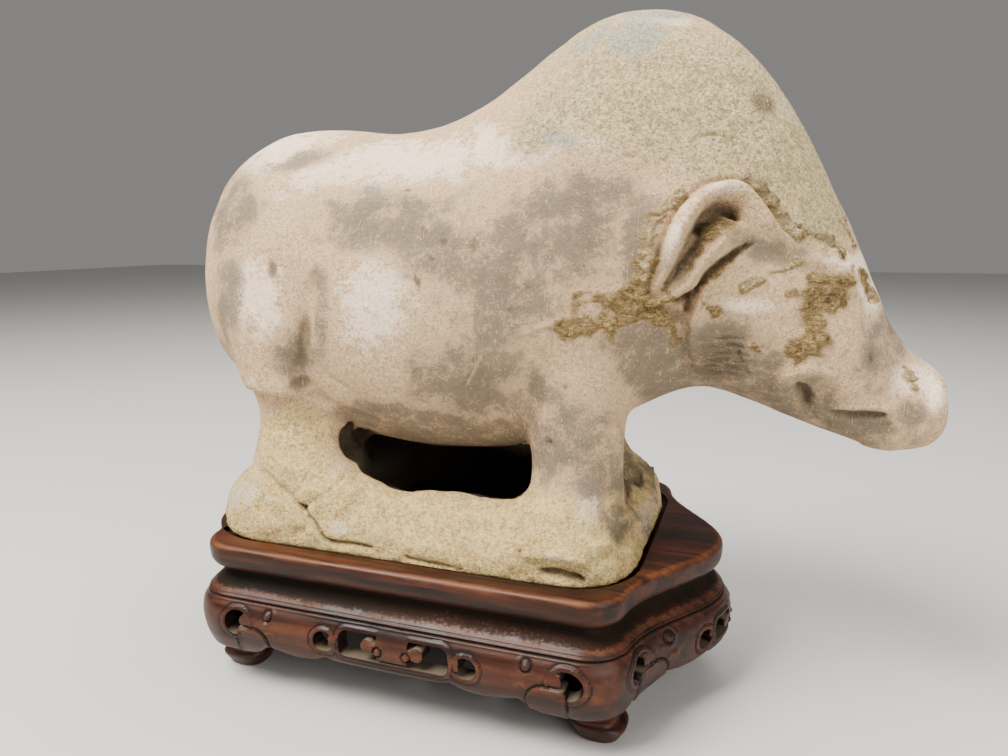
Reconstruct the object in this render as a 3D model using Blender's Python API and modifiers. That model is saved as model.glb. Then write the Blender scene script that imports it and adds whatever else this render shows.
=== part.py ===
"""Pottery pig figure on its carved hardwood stand, in metres, with +Z up and the snout along +X.

The figure is one solid with its own clay base, an open ring that the four feet grow from.
The base sits with a little play in a shallow recess of the stand, which is the second solid.
The origin lies under the middle of the whole object, on the surface that it stands on.
"""

import math

import bmesh
import bpy
import numpy as np
from mathutils import Matrix

COLLECTION_NAME = "pottery_pig_figure"

# Driving dimensions of the figure. Its free form is given in parts of its own length.
PIG_LENGTH = 0.246
PARTS_IN_LENGTH = 246.0
PART = PIG_LENGTH / PARTS_IN_LENGTH

# Clay base under the feet: how far it runs past the legs, and the height of its rough edge
BASE_REAR_MARGIN = 0.035
BASE_FRONT_MARGIN = 0.0212
BASE_SIDE_MARGIN = 0.0205
BASE_EDGE_HEIGHT = 0.0085
BASE_REAR_RADIUS = 0.028
BASE_FRONT_RADIUS = 0.021
BASE_MIDDLE_HEIGHT = 0.0165
BASE_END_HEIGHT = 0.0235
RAIL_WIDTH = 0.022
RAIL_HEIGHT = 0.0225
RAIL_REAR_SWEEP = 0.030
RAIL_FRONT_SWEEP = 0.010
RAIL_LEAN = 0.0035
OPENING_REAR_GAP = 0.019
OPENING_FRONT_GAP = 0.0225
OPENING_CORNER_RADIUS = 0.008
OPENING_LEAN = 0.003

# Stand: board, waist, apron and feet, from the top downwards
BOARD_THICKNESS = 0.009
WAIST_HEIGHT = 0.0074
APRON_HEIGHT = 0.0178
FOOT_HEIGHT = 0.0152
BOARD_SIDE_RIM = 0.0075
BOARD_END_RIM = -0.0005
BOARD_CORNER_RADIUS = 0.013
LOBE_DEPTH = 0.023
LOBE_HALF_SPAN = 0.050
BOARD_EDGE_ROUNDING = 0.004
WAIST_INSET = 0.0055
BEAD_PROUD = 0.0012
APRON_BULGE = 0.0036
APRON_WALL = 0.0075
HOLLOW_CHAMFER = 0.003
RECESS_DEPTH = 0.002
RECESS_PLAY = 0.001
SEAT_GAP = 0.0003

# Feet: the plan of each is a rounded square. Rows give the share of the foot's height, how far its middle
# moves out and its half size along the stand.
FOOT_INSET_X = 0.0125
FOOT_INSET_Y = 0.0175
FOOT_ROWS = [
    (1.26, -0.0035, 0.0160),
    (0.93, -0.0033, 0.0144),
    (0.73, -0.0015, 0.0112),
    (0.50, 0.0, 0.0092),
    (0.28, 0.0012, 0.0082),
    (0.08, 0.0025, 0.0084),
    (0.0, 0.0025, 0.0080),
]
FOOT_DEPTH_SHARE = 0.86
FOOT_SIDES = 10

# Openings pierced in the long sides and in the ends: place as a share of the way from the middle to the
# corner, width and height
HOLE_LEVEL = 0.52
HOLES = [
    (0.166, 0.0125, 0.0085),
    (0.330, 0.0085, 0.0068),
    (0.763, 0.0110, 0.0088),
]
END_HOLES = [
    (0.210, 0.0105, 0.0085),
    (0.672, 0.0105, 0.0085),
]
# Bosses and cloud-shaped lobes on the long sides: the same share, share of the apron's height,
# half width, half height and how far they stand proud
BOSSES = [
    (0.090, 0.60, 0.0026, 0.0022, 0.0012),
    (0.040, 0.52, 0.0016, 0.0016, 0.0012),
    (0.560, 0.79, 0.0019, 0.0019, 0.0012),
    (0.560, 0.42, 0.0021, 0.0018, 0.0010),
    (0.686, 0.76, 0.0019, 0.0019, 0.0012),
    (0.653, 0.22, 0.0068, 0.0036, 0.0009),
]
END_BOSSES = [
    (0.420, 0.74, 0.0019, 0.0019, 0.0012),
    (0.555, 0.40, 0.0022, 0.0020, 0.0012),
]
BOSS_ROOT = 0.0015

# Fineness of the meshes
VOXEL = 0.0016
SMOOTHING_STEPS = 8
FIGURE_TRIANGLES = 4600
FLAT_FACE_DEGREES = 0.6

# Heights that follow
STAND_HEIGHT = FOOT_HEIGHT + APRON_HEIGHT + WAIST_HEIGHT + BOARD_THICKNESS
BASE_BOTTOM = STAND_HEIGHT - RECESS_DEPTH + SEAT_GAP

# Trunk and head: place along the figure, underside, top, half width and sharpness of the crest.
# Lengths are parts of the figure's own length. Heights start at the underside of its clay base, and
# places count towards the snout from a point midway between the front and the hind legs.
BODY_STATIONS = [
    (-88.5, 80, 107, 9, 1.0),
    (-86.5, 66, 118, 21, 1.0),
    (-81, 53, 127.5, 32, 1.0),
    (-72, 46, 134.5, 40, 1.0),
    (-58, 40, 140, 45, 1.0),
    (-41.5, 34, 141, 47, 1.05),
    (-21.5, 30, 138.5, 47.5, 1.1),
    (-1.5, 28, 140, 47.5, 1.2),
    (18.5, 28.5, 148, 46.5, 1.32),
    (34.5, 31, 159, 45.5, 1.42),
    (48.5, 35, 168, 44, 1.48),
    (60.5, 41, 172, 42, 1.48),
    (73.5, 49, 171.5, 39, 1.45),
    (86, 54.5, 167.5, 36, 1.4),
    (96, 54, 160, 34, 1.35),
    (106, 51, 149, 32, 1.3),
    (116, 47, 133, 28.5, 1.25),
    (126, 43.5, 114, 24, 1.2),
    (135, 40.5, 94, 20, 1.15),
    (143, 38.5, 76, 17, 1.1),
    (150.5, 39, 67.5, 15.2, 1.05),
    (156.5, 41.5, 64, 14.6, 1.0),
    (159.3, 46, 61, 12, 1.0),
]
WIDEST_LEVEL = 0.42
BELLY_SHARPNESS = 0.92
RING_POINTS = 40
STATIONS_BETWEEN = 4

# Legs: height, place, distance from the middle plane, and half sizes along and across, from the top
FRONT_LEG = [
    (96, 49, 20, 18, 17),
    (73, 51, 21.5, 17.5, 17),
    (55, 52, 22.5, 16.3, 16.3),
    (38, 52.5, 23, 15.3, 15.5),
    (24, 53, 23.5, 15, 15.5),
    (14, 54, 25.5, 17, 19),
    (4, 55, 27, 19, 21),
]
HIND_LEG = [
    (70, -50, 20, 14, 14),
    (56, -48, 23.5, 13.5, 15),
    (45, -46.5, 26, 14.5, 15),
    (34, -44.5, 27.5, 17.5, 15),
    (22, -43, 29, 21.5, 18),
    (4, -44, 29.5, 24, 20),
]
THIGH = [
    (112, -56, 20, 12, 14),
    (96, -53, 23, 19, 21.5),
    (74, -50.5, 23.5, 21, 24.5),
    (58, -48.5, 23.5, 19, 24),
    (48, -48, 23.5, 16.5, 22),
]
LEG_POINTS = 24
LEG_SQUARENESS = 2.2
FAR_FRONT_LEG_BACK = 8.0
FRONT_LEG_PLACE = 53.5
HIND_LEG_PLACE = -45.0
LEG_SIDE_PLACE = 30.0
STAND_MIDDLE = 2.0

# Ear: place, distance out, height, half width and depth of its cup, from root to tip
EAR = [
    (76, 34, 83, 4, 1.0),
    (79, 37.5, 90, 7, 3.0),
    (84, 39.5, 98, 9.5, 5.0),
    (90, 39.5, 106, 10, 5.5),
    (95, 37.5, 111.5, 8, 4.0),
    (98.5, 34, 115, 4, 1.5),
]
EAR_THICKNESS = 3.6
EAR_DIRECTION = (0.62, 0.0, 0.78)
EAR_ACROSS = (-0.72, -0.30, 0.62)

# Flat end of the snout: middle, thickness, half width, half height and lean
SNOUT_PLACE = 152.6
SNOUT_LEVEL = 52.2
SNOUT_THICKNESS = 8.0
SNOUT_HALF_WIDTH = 15.4
SNOUT_HALF_HEIGHT = 12.2
SNOUT_LEAN_DEGREES = 78

# Tail: its path down the rump, and its half thickness
TAIL = [(-87, 0, 118), (-91, 1, 108), (-92, 3, 96), (-90, 7, 88)]
TAIL_HALF_THICKNESS = 3.2

# How far pieces that rest on the underside's plane reach below it before they are trimmed, in metres
TRIM = 0.002


def clear_scene():
    """Removes what the file holds before the figure is made."""
    for item in list(bpy.data.objects):
        bpy.data.objects.remove(item, do_unlink=True)


def material(name, colour, roughness):
    """A Principled material of one colour."""
    made = bpy.data.materials.new(name)
    made.use_nodes = True
    shader = made.node_tree.nodes["Principled BSDF"]
    shader.inputs["Base Color"].default_value = (*colour, 1.0)
    shader.inputs["Roughness"].default_value = roughness
    shader.inputs["Metallic"].default_value = 0.0
    return made


def curve_through(rows, steps):
    """Rows on the Catmull-Rom curve through the given rows, with that many steps between two of them."""
    rows = np.asarray(rows, dtype=float)
    padded = np.vstack([2 * rows[0] - rows[1], rows, 2 * rows[-1] - rows[-2]])
    made = []
    for before, start, end, after in zip(padded, padded[1:], padded[2:], padded[3:]):
        for t in np.arange(steps) / steps:
            made.append(
                0.5 * (2 * start + (end - before) * t
                       + (2 * before - 5 * start + 4 * end - after) * t**2
                       + (3 * start - before - 3 * end + after) * t**3)
            )
    made.append(rows[-1])
    return np.array(made)


def loft(rings):
    """A closed mesh through rings of as many points each, with its two ends filled."""
    shell = bmesh.new()
    loops = [[shell.verts.new(point) for point in ring] for ring in rings]
    for lower, upper in zip(loops, loops[1:]):
        for i in range(len(lower)):
            j = (i + 1) % len(lower)
            shell.faces.new((lower[i], lower[j], upper[j], upper[i]))
    for loop in (loops[0], loops[-1]):
        middle = shell.verts.new(sum((v.co for v in loop), loop[0].co * 0) / len(loop))
        for i in range(len(loop)):
            shell.faces.new((loop[i], loop[(i + 1) % len(loop)], middle))
    bmesh.ops.triangulate(shell, faces=shell.faces)
    bmesh.ops.recalc_face_normals(shell, faces=shell.faces)
    return shell


def ball(centre, radii):
    """An ellipsoid."""
    shell = bmesh.new()
    bmesh.ops.create_uvsphere(shell, u_segments=20, v_segments=12, radius=1.0)
    bmesh.ops.scale(shell, vec=radii, verts=shell.verts)
    bmesh.ops.translate(shell, vec=centre, verts=shell.verts)
    return shell


def merge(shells):
    """One mesh out of several, which may overlap."""
    whole = bmesh.new()
    for shell in shells:
        piece = bpy.data.meshes.new("piece")
        shell.to_mesh(piece)
        shell.free()
        whole.from_mesh(piece)
        bpy.data.meshes.remove(piece)
    return whole


def add_object(name, shell, collection):
    """An object made of a mesh."""
    mesh = bpy.data.meshes.new(name)
    shell.to_mesh(mesh)
    shell.free()
    made = bpy.data.objects.new(name, mesh)
    collection.objects.link(made)
    return made


def apply_modifiers(made):
    """Puts the evaluated shape in the object's own mesh."""
    bpy.context.view_layer.update()
    shape = bpy.data.meshes.new_from_object(made.evaluated_get(bpy.context.evaluated_depsgraph_get()))
    made.modifiers.clear()
    made.data = shape


def superellipse(angles, sharpness):
    """Cosine and sine of the angles, with the corners filled or drawn in."""
    cosine = np.cos(angles)
    sine = np.sin(angles)
    power = 2.0 / sharpness
    return np.sign(cosine) * np.abs(cosine)**power, np.sign(sine) * np.abs(sine)**power


def body_ring(place, low, high, half_width, crest):
    """An upright section of the trunk: egg-shaped, widest below its middle, with a narrowed crest."""
    angles = 2 * math.pi * np.arange(RING_POINTS) / RING_POINTS
    widest = low + WIDEST_LEVEL * (high - low)
    sine = np.sin(angles)
    cosine = np.cos(angles)
    power = np.where(sine > 0, crest, BELLY_SHARPNESS)
    across = half_width * np.sign(cosine) * np.abs(cosine)**power
    height = np.where(sine > 0, widest + (high - widest) * sine, widest + (widest - low) * sine)
    return np.column_stack([np.full(RING_POINTS, place), across, height])


def lift(points):
    """Turns parts of the figure's length to metres, above the recess of the stand."""
    points = np.asarray(points, dtype=float) * PART
    points[:, 2] += BASE_BOTTOM
    return points


def body():
    """Trunk, hump, neck and head, through the upright sections."""
    return loft([lift(body_ring(*row)) for row in curve_through(BODY_STATIONS, STATIONS_BETWEEN)])


def limb(stations, side, shift=0.0):
    """A leg or a thigh, through level oval sections."""
    angles = 2 * math.pi * np.arange(LEG_POINTS) / LEG_POINTS
    cosine, sine = superellipse(angles, LEG_SQUARENESS)
    rings = []
    for height, place, out, along, across in curve_through(stations, STATIONS_BETWEEN):
        rings.append(lift(np.column_stack([
            place + shift + along * cosine,
            side * (out + across * sine),
            np.full(LEG_POINTS, height),
        ])))
    return loft(rings)


def rounded_outline(low, high, half_width, rear_radius, front_radius, inset=0.0, steps=7):
    """A rectangle from low to high along X, with round corners, drawn in by an inset."""
    points = []
    for corner, (side_x, side_y) in enumerate([(1, 1), (-1, 1), (-1, -1), (1, -1)]):
        full = front_radius if side_x > 0 else rear_radius
        radius = max(full - inset, full * 0.3)
        centre_x = (high - inset - radius) if side_x > 0 else (low + inset + radius)
        centre_y = side_y * (half_width - inset - radius)
        for angle in np.linspace(corner * math.pi / 2, (corner + 1) * math.pi / 2, steps):
            points.append((centre_x + radius * math.cos(angle), centre_y + radius * math.sin(angle)))
    return np.array(points)


def base_outline(inset=0.0):
    """The plan of the clay base, drawn in by an inset, or grown by a negative one."""
    return rounded_outline(BASE_LOW, BASE_HIGH, BASE_HALF_WIDTH, BASE_REAR_RADIUS, BASE_FRONT_RADIUS, inset)


BASE_LOW = HIND_LEG_PLACE * PART - BASE_REAR_MARGIN
BASE_HIGH = FRONT_LEG_PLACE * PART + BASE_FRONT_MARGIN
BASE_HALF_WIDTH = LEG_SIDE_PLACE * PART + BASE_SIDE_MARGIN


# The leaning sides above the edge of the base: share of the remaining height, and how far in
BASE_SLOPE = [(0.35, 0.0035), (0.7, 0.0085), (0.9, 0.013), (1.0, 0.018)]
# Where the higher ends of the base stop between the legs, in parts of the length
MOUND_INNER_ENDS = (-18, 34)
MOUND_INNER_RADIUS = 0.012


def flat_ring(outline, height):
    """The outline as points at one height."""
    return np.column_stack([outline, np.full(len(outline), height)])


def slab(outline_at, height):
    """A low block with a straight edge and leaning sides above it."""
    slope = height - BASE_EDGE_HEIGHT
    levels = [(-TRIM, 0.0), (BASE_EDGE_HEIGHT * 0.5, 0.0), (BASE_EDGE_HEIGHT, 0.0012)]
    levels += [(BASE_EDGE_HEIGHT + slope * share, inset) for share, inset in BASE_SLOPE]
    return loft([flat_ring(outline_at(inset), BASE_BOTTOM + height) for height, inset in levels])


def clay_base():
    """The slab under the feet, higher at both ends, before its middle is opened."""
    shells = [slab(base_outline, BASE_MIDDLE_HEIGHT)]
    for low, high in [(BASE_LOW, MOUND_INNER_ENDS[0] * PART), (MOUND_INNER_ENDS[1] * PART, BASE_HIGH)]:
        rear = BASE_REAR_RADIUS if low == BASE_LOW else MOUND_INNER_RADIUS
        front = BASE_FRONT_RADIUS if high == BASE_HIGH else MOUND_INNER_RADIUS
        shells.append(slab(
            lambda inset: rounded_outline(low, high, BASE_HALF_WIDTH, rear, front, inset), BASE_END_HEIGHT
        ))
    return merge(shells)


# Shares of the rail's length over which it sweeps up to the hind and to the front leg
RAIL_REAR_SHARE = 0.42
RAIL_FRONT_SHARE = 0.2


def rail(side):
    """The rounded side bar of the base between two legs, sweeping up where it meets them."""
    rings = []
    start = HIND_LEG_PLACE * PART
    end = FRONT_LEG_PLACE * PART
    angles = np.linspace(0, math.pi, 11)
    for share in np.linspace(0, 1, 21):
        place = start + (end - start) * share
        to_rear = max(0.0, 1 - share / RAIL_REAR_SHARE)
        to_front = max(0.0, 1 - (1 - share) / RAIL_FRONT_SHARE)
        crest = RAIL_HEIGHT + RAIL_REAR_SWEEP * to_rear**2 + RAIL_FRONT_SWEEP * to_front**2
        middle = BASE_HALF_WIDTH - RAIL_WIDTH * 0.5
        across = middle - RAIL_WIDTH * 0.5 * np.cos(angles) - RAIL_LEAN * np.sin(angles)
        height = crest * np.sin(angles)**0.6
        rings.append(np.column_stack([
            np.full(len(angles), place), side * across, BASE_BOTTOM - TRIM + height,
        ]))
    return loft(rings)


def ear(side):
    """A cupped leaf that lies on the side of the head, through crescent sections from root to tip."""
    across = np.array(EAR_ACROSS) / np.linalg.norm(EAR_ACROSS)
    outward = np.cross(across, EAR_DIRECTION)
    outward = outward / np.linalg.norm(outward) * (1 if outward[1] < 0 else -1)
    rings = []
    for place, out, height, half, cup in curve_through(EAR, 3):
        centre = np.array([place, -out, height])
        sweep = np.linspace(-1, 1, 9)[:, None]
        hollow = cup * (sweep**2 - 0.55)
        outer = centre + across * half * sweep + outward * hollow
        back = hollow - EAR_THICKNESS * (1.15 - 0.6 * sweep**2)
        inner = centre + across * (half + EAR_THICKNESS * 0.5) * sweep + outward * back
        ring = np.vstack([outer, inner[::-1]])
        rings.append(lift(ring * (1, -side, 1)))
    return loft(rings)


def snout():
    """The flat round end of the snout, a little wider than the muzzle."""
    shell = bmesh.new()
    bmesh.ops.create_cone(shell, cap_ends=True, segments=24, radius1=1.0, radius2=0.94, depth=1.0)
    lean = Matrix.Rotation(math.radians(SNOUT_LEAN_DEGREES), 3, "Y")
    bmesh.ops.rotate(shell, matrix=lean, verts=shell.verts)
    sizes = [size * PART for size in (SNOUT_THICKNESS, SNOUT_HALF_WIDTH, SNOUT_HALF_HEIGHT)]
    bmesh.ops.scale(shell, vec=sizes, verts=shell.verts)
    bmesh.ops.translate(shell, vec=lift([(SNOUT_PLACE, 0, SNOUT_LEVEL)])[0], verts=shell.verts)
    return shell


def tail():
    """A short tail that lies curled against the rump, as a row of balls that run into each other."""
    radii = (TAIL_HALF_THICKNESS * PART,) * 3
    return merge([ball(point, radii) for point in lift(curve_through(TAIL, STATIONS_BETWEEN))])


def press(points, normals, path, width, depth, sharp=2.0):
    """Moves points along their normals near a path, inwards for a positive depth."""
    reach = np.full(len(points), np.inf)
    for start, end in zip(path, path[1:]):
        along = end - start
        share = np.clip(((points - start) @ along) / (along @ along), 0, 1)
        reach = np.minimum(reach, np.linalg.norm(points - (start + share[:, None] * along), axis=1))
    return points - normals * (depth * np.exp(-(reach / width)**sharp))[:, None]


def sculpt(mesh):
    """Presses the creases, the mouth and the eyes into the figure."""
    count = len(mesh.vertices)
    points = np.empty(count * 3)
    mesh.vertices.foreach_get("co", points)
    points = points.reshape(-1, 3)
    for path, width, depth in FOLDS:
        for side in (-1, 1):
            normals = np.empty(count * 3)
            mesh.vertices.foreach_get("normal", normals)
            line = np.array(path, dtype=float) * (1, side, 1)
            points = press(points, normals.reshape(-1, 3), lift(line), width * PART, depth * PART)
            mesh.vertices.foreach_set("co", points.ravel())
            mesh.update()


# Folds: a path on the near or far flank (place, distance out, height), its half width and its depth
FOLDS = [
    ([(-35, 47, 92), (-31, 47, 74), (-25, 46, 50)], 4.0, 3.0),
    ([(-66, 36, 49), (-50, 46, 47), (-34, 44, 46)], 2.0, 2.2),
    ([(122, 22, 52), (133, 20, 48), (146, 16, 47)], 1.8, 2.0),
    ([(119, 26, 60), (122, 25, 57)], 3.4, 2.6),
    ([(124, 20, 84), (127, 19, 82)], 3.2, 1.8),
]


def figure(collection):
    """The pottery pig with its own base: joined, softened, creased and thinned to facets."""
    shells = [body(), clay_base(), snout(), tail()]
    for side in (-1, 1):
        shells.append(limb(FRONT_LEG, side, -FAR_FRONT_LEG_BACK if side > 0 else 0.0))
        shells.append(limb(HIND_LEG, side))
        shells.append(limb(THIGH, side))
        shells.append(rail(side))
        shells.append(ear(side))
    made = add_object("pottery_pig", merge(shells), collection)
    remesh = made.modifiers.new("Join", "REMESH")
    remesh.mode = "VOXEL"
    remesh.voxel_size = VOXEL
    smooth = made.modifiers.new("Soften", "SMOOTH")
    smooth.factor = 0.5
    smooth.iterations = SMOOTHING_STEPS
    apply_modifiers(made)
    sculpt(made.data)
    thin = made.modifiers.new("Facets", "DECIMATE")
    thin.ratio = FIGURE_TRIANGLES / (2.0 * len(made.data.polygons))
    apply_modifiers(made)
    return made


def cutter(name, shell, collection):
    """A shape that is only cut away."""
    made = add_object(name, shell, collection)
    made.hide_render = True
    made.display_type = "WIRE"
    return made


def cut(made, tool, operation="DIFFERENCE"):
    """A Boolean of one object with another."""
    modifier = made.modifiers.new(tool.name, "BOOLEAN")
    modifier.operation = operation
    modifier.solver = "EXACT"
    modifier.object = tool


def block(low, high):
    """A box between two corners."""
    shell = bmesh.new()
    bmesh.ops.create_cube(shell, size=1.0)
    size = [b - a for a, b in zip(low, high)]
    bmesh.ops.scale(shell, vec=size, verts=shell.verts)
    bmesh.ops.translate(shell, vec=[(a + b) / 2 for a, b in zip(low, high)], verts=shell.verts)
    return shell


def base_hollow():
    """The open middle of the clay base, between its rails and its ends."""
    low = HIND_LEG_PLACE * PART + OPENING_REAR_GAP
    high = FRONT_LEG_PLACE * PART - OPENING_FRONT_GAP
    half = BASE_HALF_WIDTH - RAIL_WIDTH
    radius = OPENING_CORNER_RADIUS
    rings = []
    for height, inset in [(-2 * TRIM, 0.0), (BASE_EDGE_HEIGHT, 0.0), (BASE_END_HEIGHT + TRIM, OPENING_LEAN)]:
        outline = rounded_outline(low, high, half, radius, radius, inset)
        rings.append(flat_ring(outline, BASE_BOTTOM + height))
    return loft(rings)


BOARD_HALF_WIDTH = BASE_HALF_WIDTH + RECESS_PLAY + BOARD_SIDE_RIM
BOARD_MIDDLE = STAND_MIDDLE * PART
BOARD_SHOULDER = BASE_HIGH - BOARD_MIDDLE + RECESS_PLAY + BOARD_END_RIM


def stand_outline(offset=0.0):
    """The plan of the board: straight long sides, round corners, and a wide lobe on each end.

    The end follows a cosine wave across the stand. An offset moves every point along its normal.
    """
    straight = BOARD_HALF_WIDTH - BOARD_CORNER_RADIUS
    across = np.linspace(-straight, straight, 15)
    share = np.clip(np.abs(across) / LOBE_HALF_SPAN, 0, 1)
    wave = 0.5 + 0.5 * np.cos(math.pi * share)
    end = np.column_stack([BOARD_SHOULDER + LOBE_DEPTH * wave, across])
    angles = np.linspace(0, math.pi / 2, 5)[1:]
    corner = np.column_stack([
        BOARD_SHOULDER - BOARD_CORNER_RADIUS * (1 - np.cos(angles)),
        straight + BOARD_CORNER_RADIUS * np.sin(angles),
    ])
    side_end = BOARD_SHOULDER - BOARD_CORNER_RADIUS
    side = np.column_stack([np.linspace(side_end, -side_end, 6)[1:-1], np.full(4, BOARD_HALF_WIDTH)])
    near = np.vstack([end, corner, side])
    half = np.vstack([near, (corner * (-1, 1))[::-1]])
    whole = np.vstack([half, half * (-1, -1)])
    return whole + offset * outline_normals(whole) + (BOARD_MIDDLE, 0)


def outline_normals(outline):
    """Unit normals that point out of a closed outline which runs anticlockwise."""
    along = np.roll(outline, -1, axis=0) - np.roll(outline, 1, axis=0)
    normals = np.column_stack([along[:, 1], -along[:, 0]])
    return normals / np.linalg.norm(normals, axis=1)[:, None]


def seen_from_middle(outline, directions):
    """Points of an outline that lie in the directions of other points, seen from the stand's middle."""
    middle = np.array([BOARD_MIDDLE, 0.0])
    steps = np.arange(24)[:, None, None] / 24
    fine = ((1 - steps) * outline + steps * np.roll(outline, -1, axis=0)).transpose(1, 0, 2).reshape(-1, 2)
    fine = fine - middle
    turn = np.arctan2(fine[:, 1], fine[:, 0])
    order = np.argsort(turn)
    wanted = directions - middle
    wanted_turn = np.arctan2(wanted[:, 1], wanted[:, 0])
    reach = np.interp(wanted_turn, turn[order], np.hypot(fine[:, 0], fine[:, 1])[order], period=2 * math.pi)
    return middle + np.column_stack([reach * np.cos(wanted_turn), reach * np.sin(wanted_turn)])


def stand_profile():
    """Heights and offsets down the outside: board edge, recessed waist, bead and bulging apron."""
    top = STAND_HEIGHT
    board = top - BOARD_THICKNESS
    bead = board - WAIST_HEIGHT
    bottom = FOOT_HEIGHT
    rim = BOARD_EDGE_ROUNDING
    return [
        (top, -rim), (top - 0.2 * rim, -0.45 * rim), (top - 0.6 * rim, -0.1 * rim),
        ((top + board) / 2, 0.0), (board + 0.6 * rim, -0.1 * rim), (board, -0.8 * rim),
        (board - 0.15 * WAIST_HEIGHT, -WAIST_INSET), (board - 0.5 * WAIST_HEIGHT, -WAIST_INSET * 0.8),
        (bead + 0.001, BEAD_PROUD - 0.0016), (bead, BEAD_PROUD),
        (bead - 0.002, BEAD_PROUD - 0.001),
        (bead - 0.2 * APRON_HEIGHT, APRON_BULGE * 0.75), (bead - 0.45 * APRON_HEIGHT, APRON_BULGE),
        (bead - 0.75 * APRON_HEIGHT, APRON_BULGE * 0.7), (bottom, 0.0),
    ]


def place_on_outline(outline, x=None, y=None):
    """The point of the outline on the -Y side at x, or on the +X side at y, with its normal."""
    normals = outline_normals(outline)
    if x is not None:
        rows = np.where(outline[:, 1] < 0)[0]
        row = rows[np.argmin(np.abs(outline[rows, 0] - x))]
        return np.array([x, outline[row, 1]]), normals[row]
    rows = np.where(outline[:, 0] > 0)[0]
    row = rows[np.argmin(np.abs(outline[rows, 1] - y))]
    return outline[row], normals[row]


# How long each cutting prism is, along the apron's normal
HOLE_REACH = 2.2 * (APRON_WALL + APRON_BULGE)


def hole_shell(centre, normal, width, height):
    """An oval prism that runs through the apron along its normal."""
    shell = bmesh.new()
    level = FOOT_HEIGHT + HOLE_LEVEL * APRON_HEIGHT
    bmesh.ops.create_cone(shell, cap_ends=True, segments=8, radius1=0.5, radius2=0.5, depth=1.0)
    tangent = np.array([-normal[1], normal[0]])
    for vertex in shell.verts:
        x, y, z = vertex.co
        plan = centre + tangent * x * width + normal * (z * HOLE_REACH - APRON_WALL * 0.5)
        vertex.co = (plan[0], plan[1], level + y * height)
    bmesh.ops.triangulate(shell, faces=shell.faces)
    bmesh.ops.recalc_face_normals(shell, faces=shell.faces)
    return shell


def on_four_sides(sides, ends):
    """Centre, normal and sizes of each row on the apron, mirrored to all four quarters of the stand."""
    outline = stand_outline(APRON_BULGE * 0.9)
    middle = np.array([BOARD_MIDDLE, 0.0])
    places = []
    for share, *sizes in sides:
        places.append((*place_on_outline(outline, x=share * BOARD_SHOULDER + BOARD_MIDDLE), sizes))
    for share, *sizes in ends:
        places.append((*place_on_outline(outline, y=-share * BOARD_HALF_WIDTH), sizes))
    made = []
    for centre, normal, sizes in places:
        for flip in [(1, 1), (-1, 1), (1, -1), (-1, -1)]:
            made.append(((centre - middle) * flip + middle, normal * flip, *sizes))
    return made


def boss_shell(centre, normal, level, half_width, half_height, proud):
    """A flat dome that grows out of the apron."""
    shell = bmesh.new()
    bmesh.ops.create_uvsphere(shell, u_segments=6, v_segments=4, radius=1.0)
    tangent = np.array([-normal[1], normal[0]])
    height = FOOT_HEIGHT + level * APRON_HEIGHT
    for vertex in shell.verts:
        x, y, z = vertex.co
        plan = centre + tangent * x * half_width + normal * (z * (proud + BOSS_ROOT) - BOSS_ROOT)
        vertex.co = (plan[0], plan[1], height + y * half_height)
    bmesh.ops.triangulate(shell, faces=shell.faces)
    bmesh.ops.recalc_face_normals(shell, faces=shell.faces)
    return shell


def foot(flip_x, flip_y):
    """A corner foot that narrows under the apron and flares to its toe."""
    centre_x = BOARD_SHOULDER - FOOT_INSET_X
    centre_y = BOARD_HALF_WIDTH - FOOT_INSET_Y
    cosine, sine = superellipse(2 * math.pi * np.arange(FOOT_SIDES) / FOOT_SIDES, 3.0)
    rings = []
    for share, out, half in FOOT_ROWS[::-1]:
        rings.append(flat_ring(np.column_stack([
            BOARD_MIDDLE + flip_x * (centre_x + out + half * cosine),
            flip_y * (centre_y + out * 0.5 + half * FOOT_DEPTH_SHARE * sine),
        ]), share * FOOT_HEIGHT))
    return loft(rings)


def stand(collection, cutters):
    """The wooden stand: recess, outside and hollow in one loft, with feet, openings and bosses."""
    recess = seen_from_middle(base_outline(-RECESS_PLAY), stand_outline())
    ceiling = STAND_HEIGHT - BOARD_THICKNESS
    rings = [flat_ring(recess, STAND_HEIGHT - RECESS_DEPTH), flat_ring(recess, STAND_HEIGHT)]
    rings += [flat_ring(stand_outline(offset), height) for height, offset in stand_profile()]
    rings.append(flat_ring(stand_outline(-APRON_WALL), FOOT_HEIGHT))
    rings.append(flat_ring(stand_outline(-APRON_WALL), ceiling - HOLLOW_CHAMFER))
    rings.append(flat_ring(stand_outline(-APRON_WALL - HOLLOW_CHAMFER), ceiling))
    made = add_object("wooden_stand", loft(rings), collection)
    feet = merge([foot(x, y) for x in (-1, 1) for y in (-1, 1)])
    cut(made, cutter("feet_to_join", feet, cutters), "UNION")
    for row, place in enumerate(on_four_sides(HOLES, END_HOLES)):
        cut(made, cutter(f"opening_{row}", hole_shell(*place), cutters))
    for row, place in enumerate(on_four_sides(BOSSES, END_BOSSES)):
        cut(made, cutter(f"boss_{row}", boss_shell(*place), cutters), "UNION")
    flat = made.modifiers.new("Flat faces", "DECIMATE")
    flat.decimate_type = "DISSOLVE"
    flat.angle_limit = math.radians(FLAT_FACE_DEGREES)
    apply_modifiers(made)
    return made


def centre_over_origin(parts):
    """Moves the whole object so that its origin is under the middle of its box."""
    corners = np.array([part.matrix_world @ vertex.co for part in parts for vertex in part.data.vertices])
    middle = (corners.min(axis=0) + corners.max(axis=0)) / 2
    for part in parts:
        for vertex in part.data.vertices:
            vertex.co.x -= middle[0]
            vertex.co.y -= middle[1]


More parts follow.
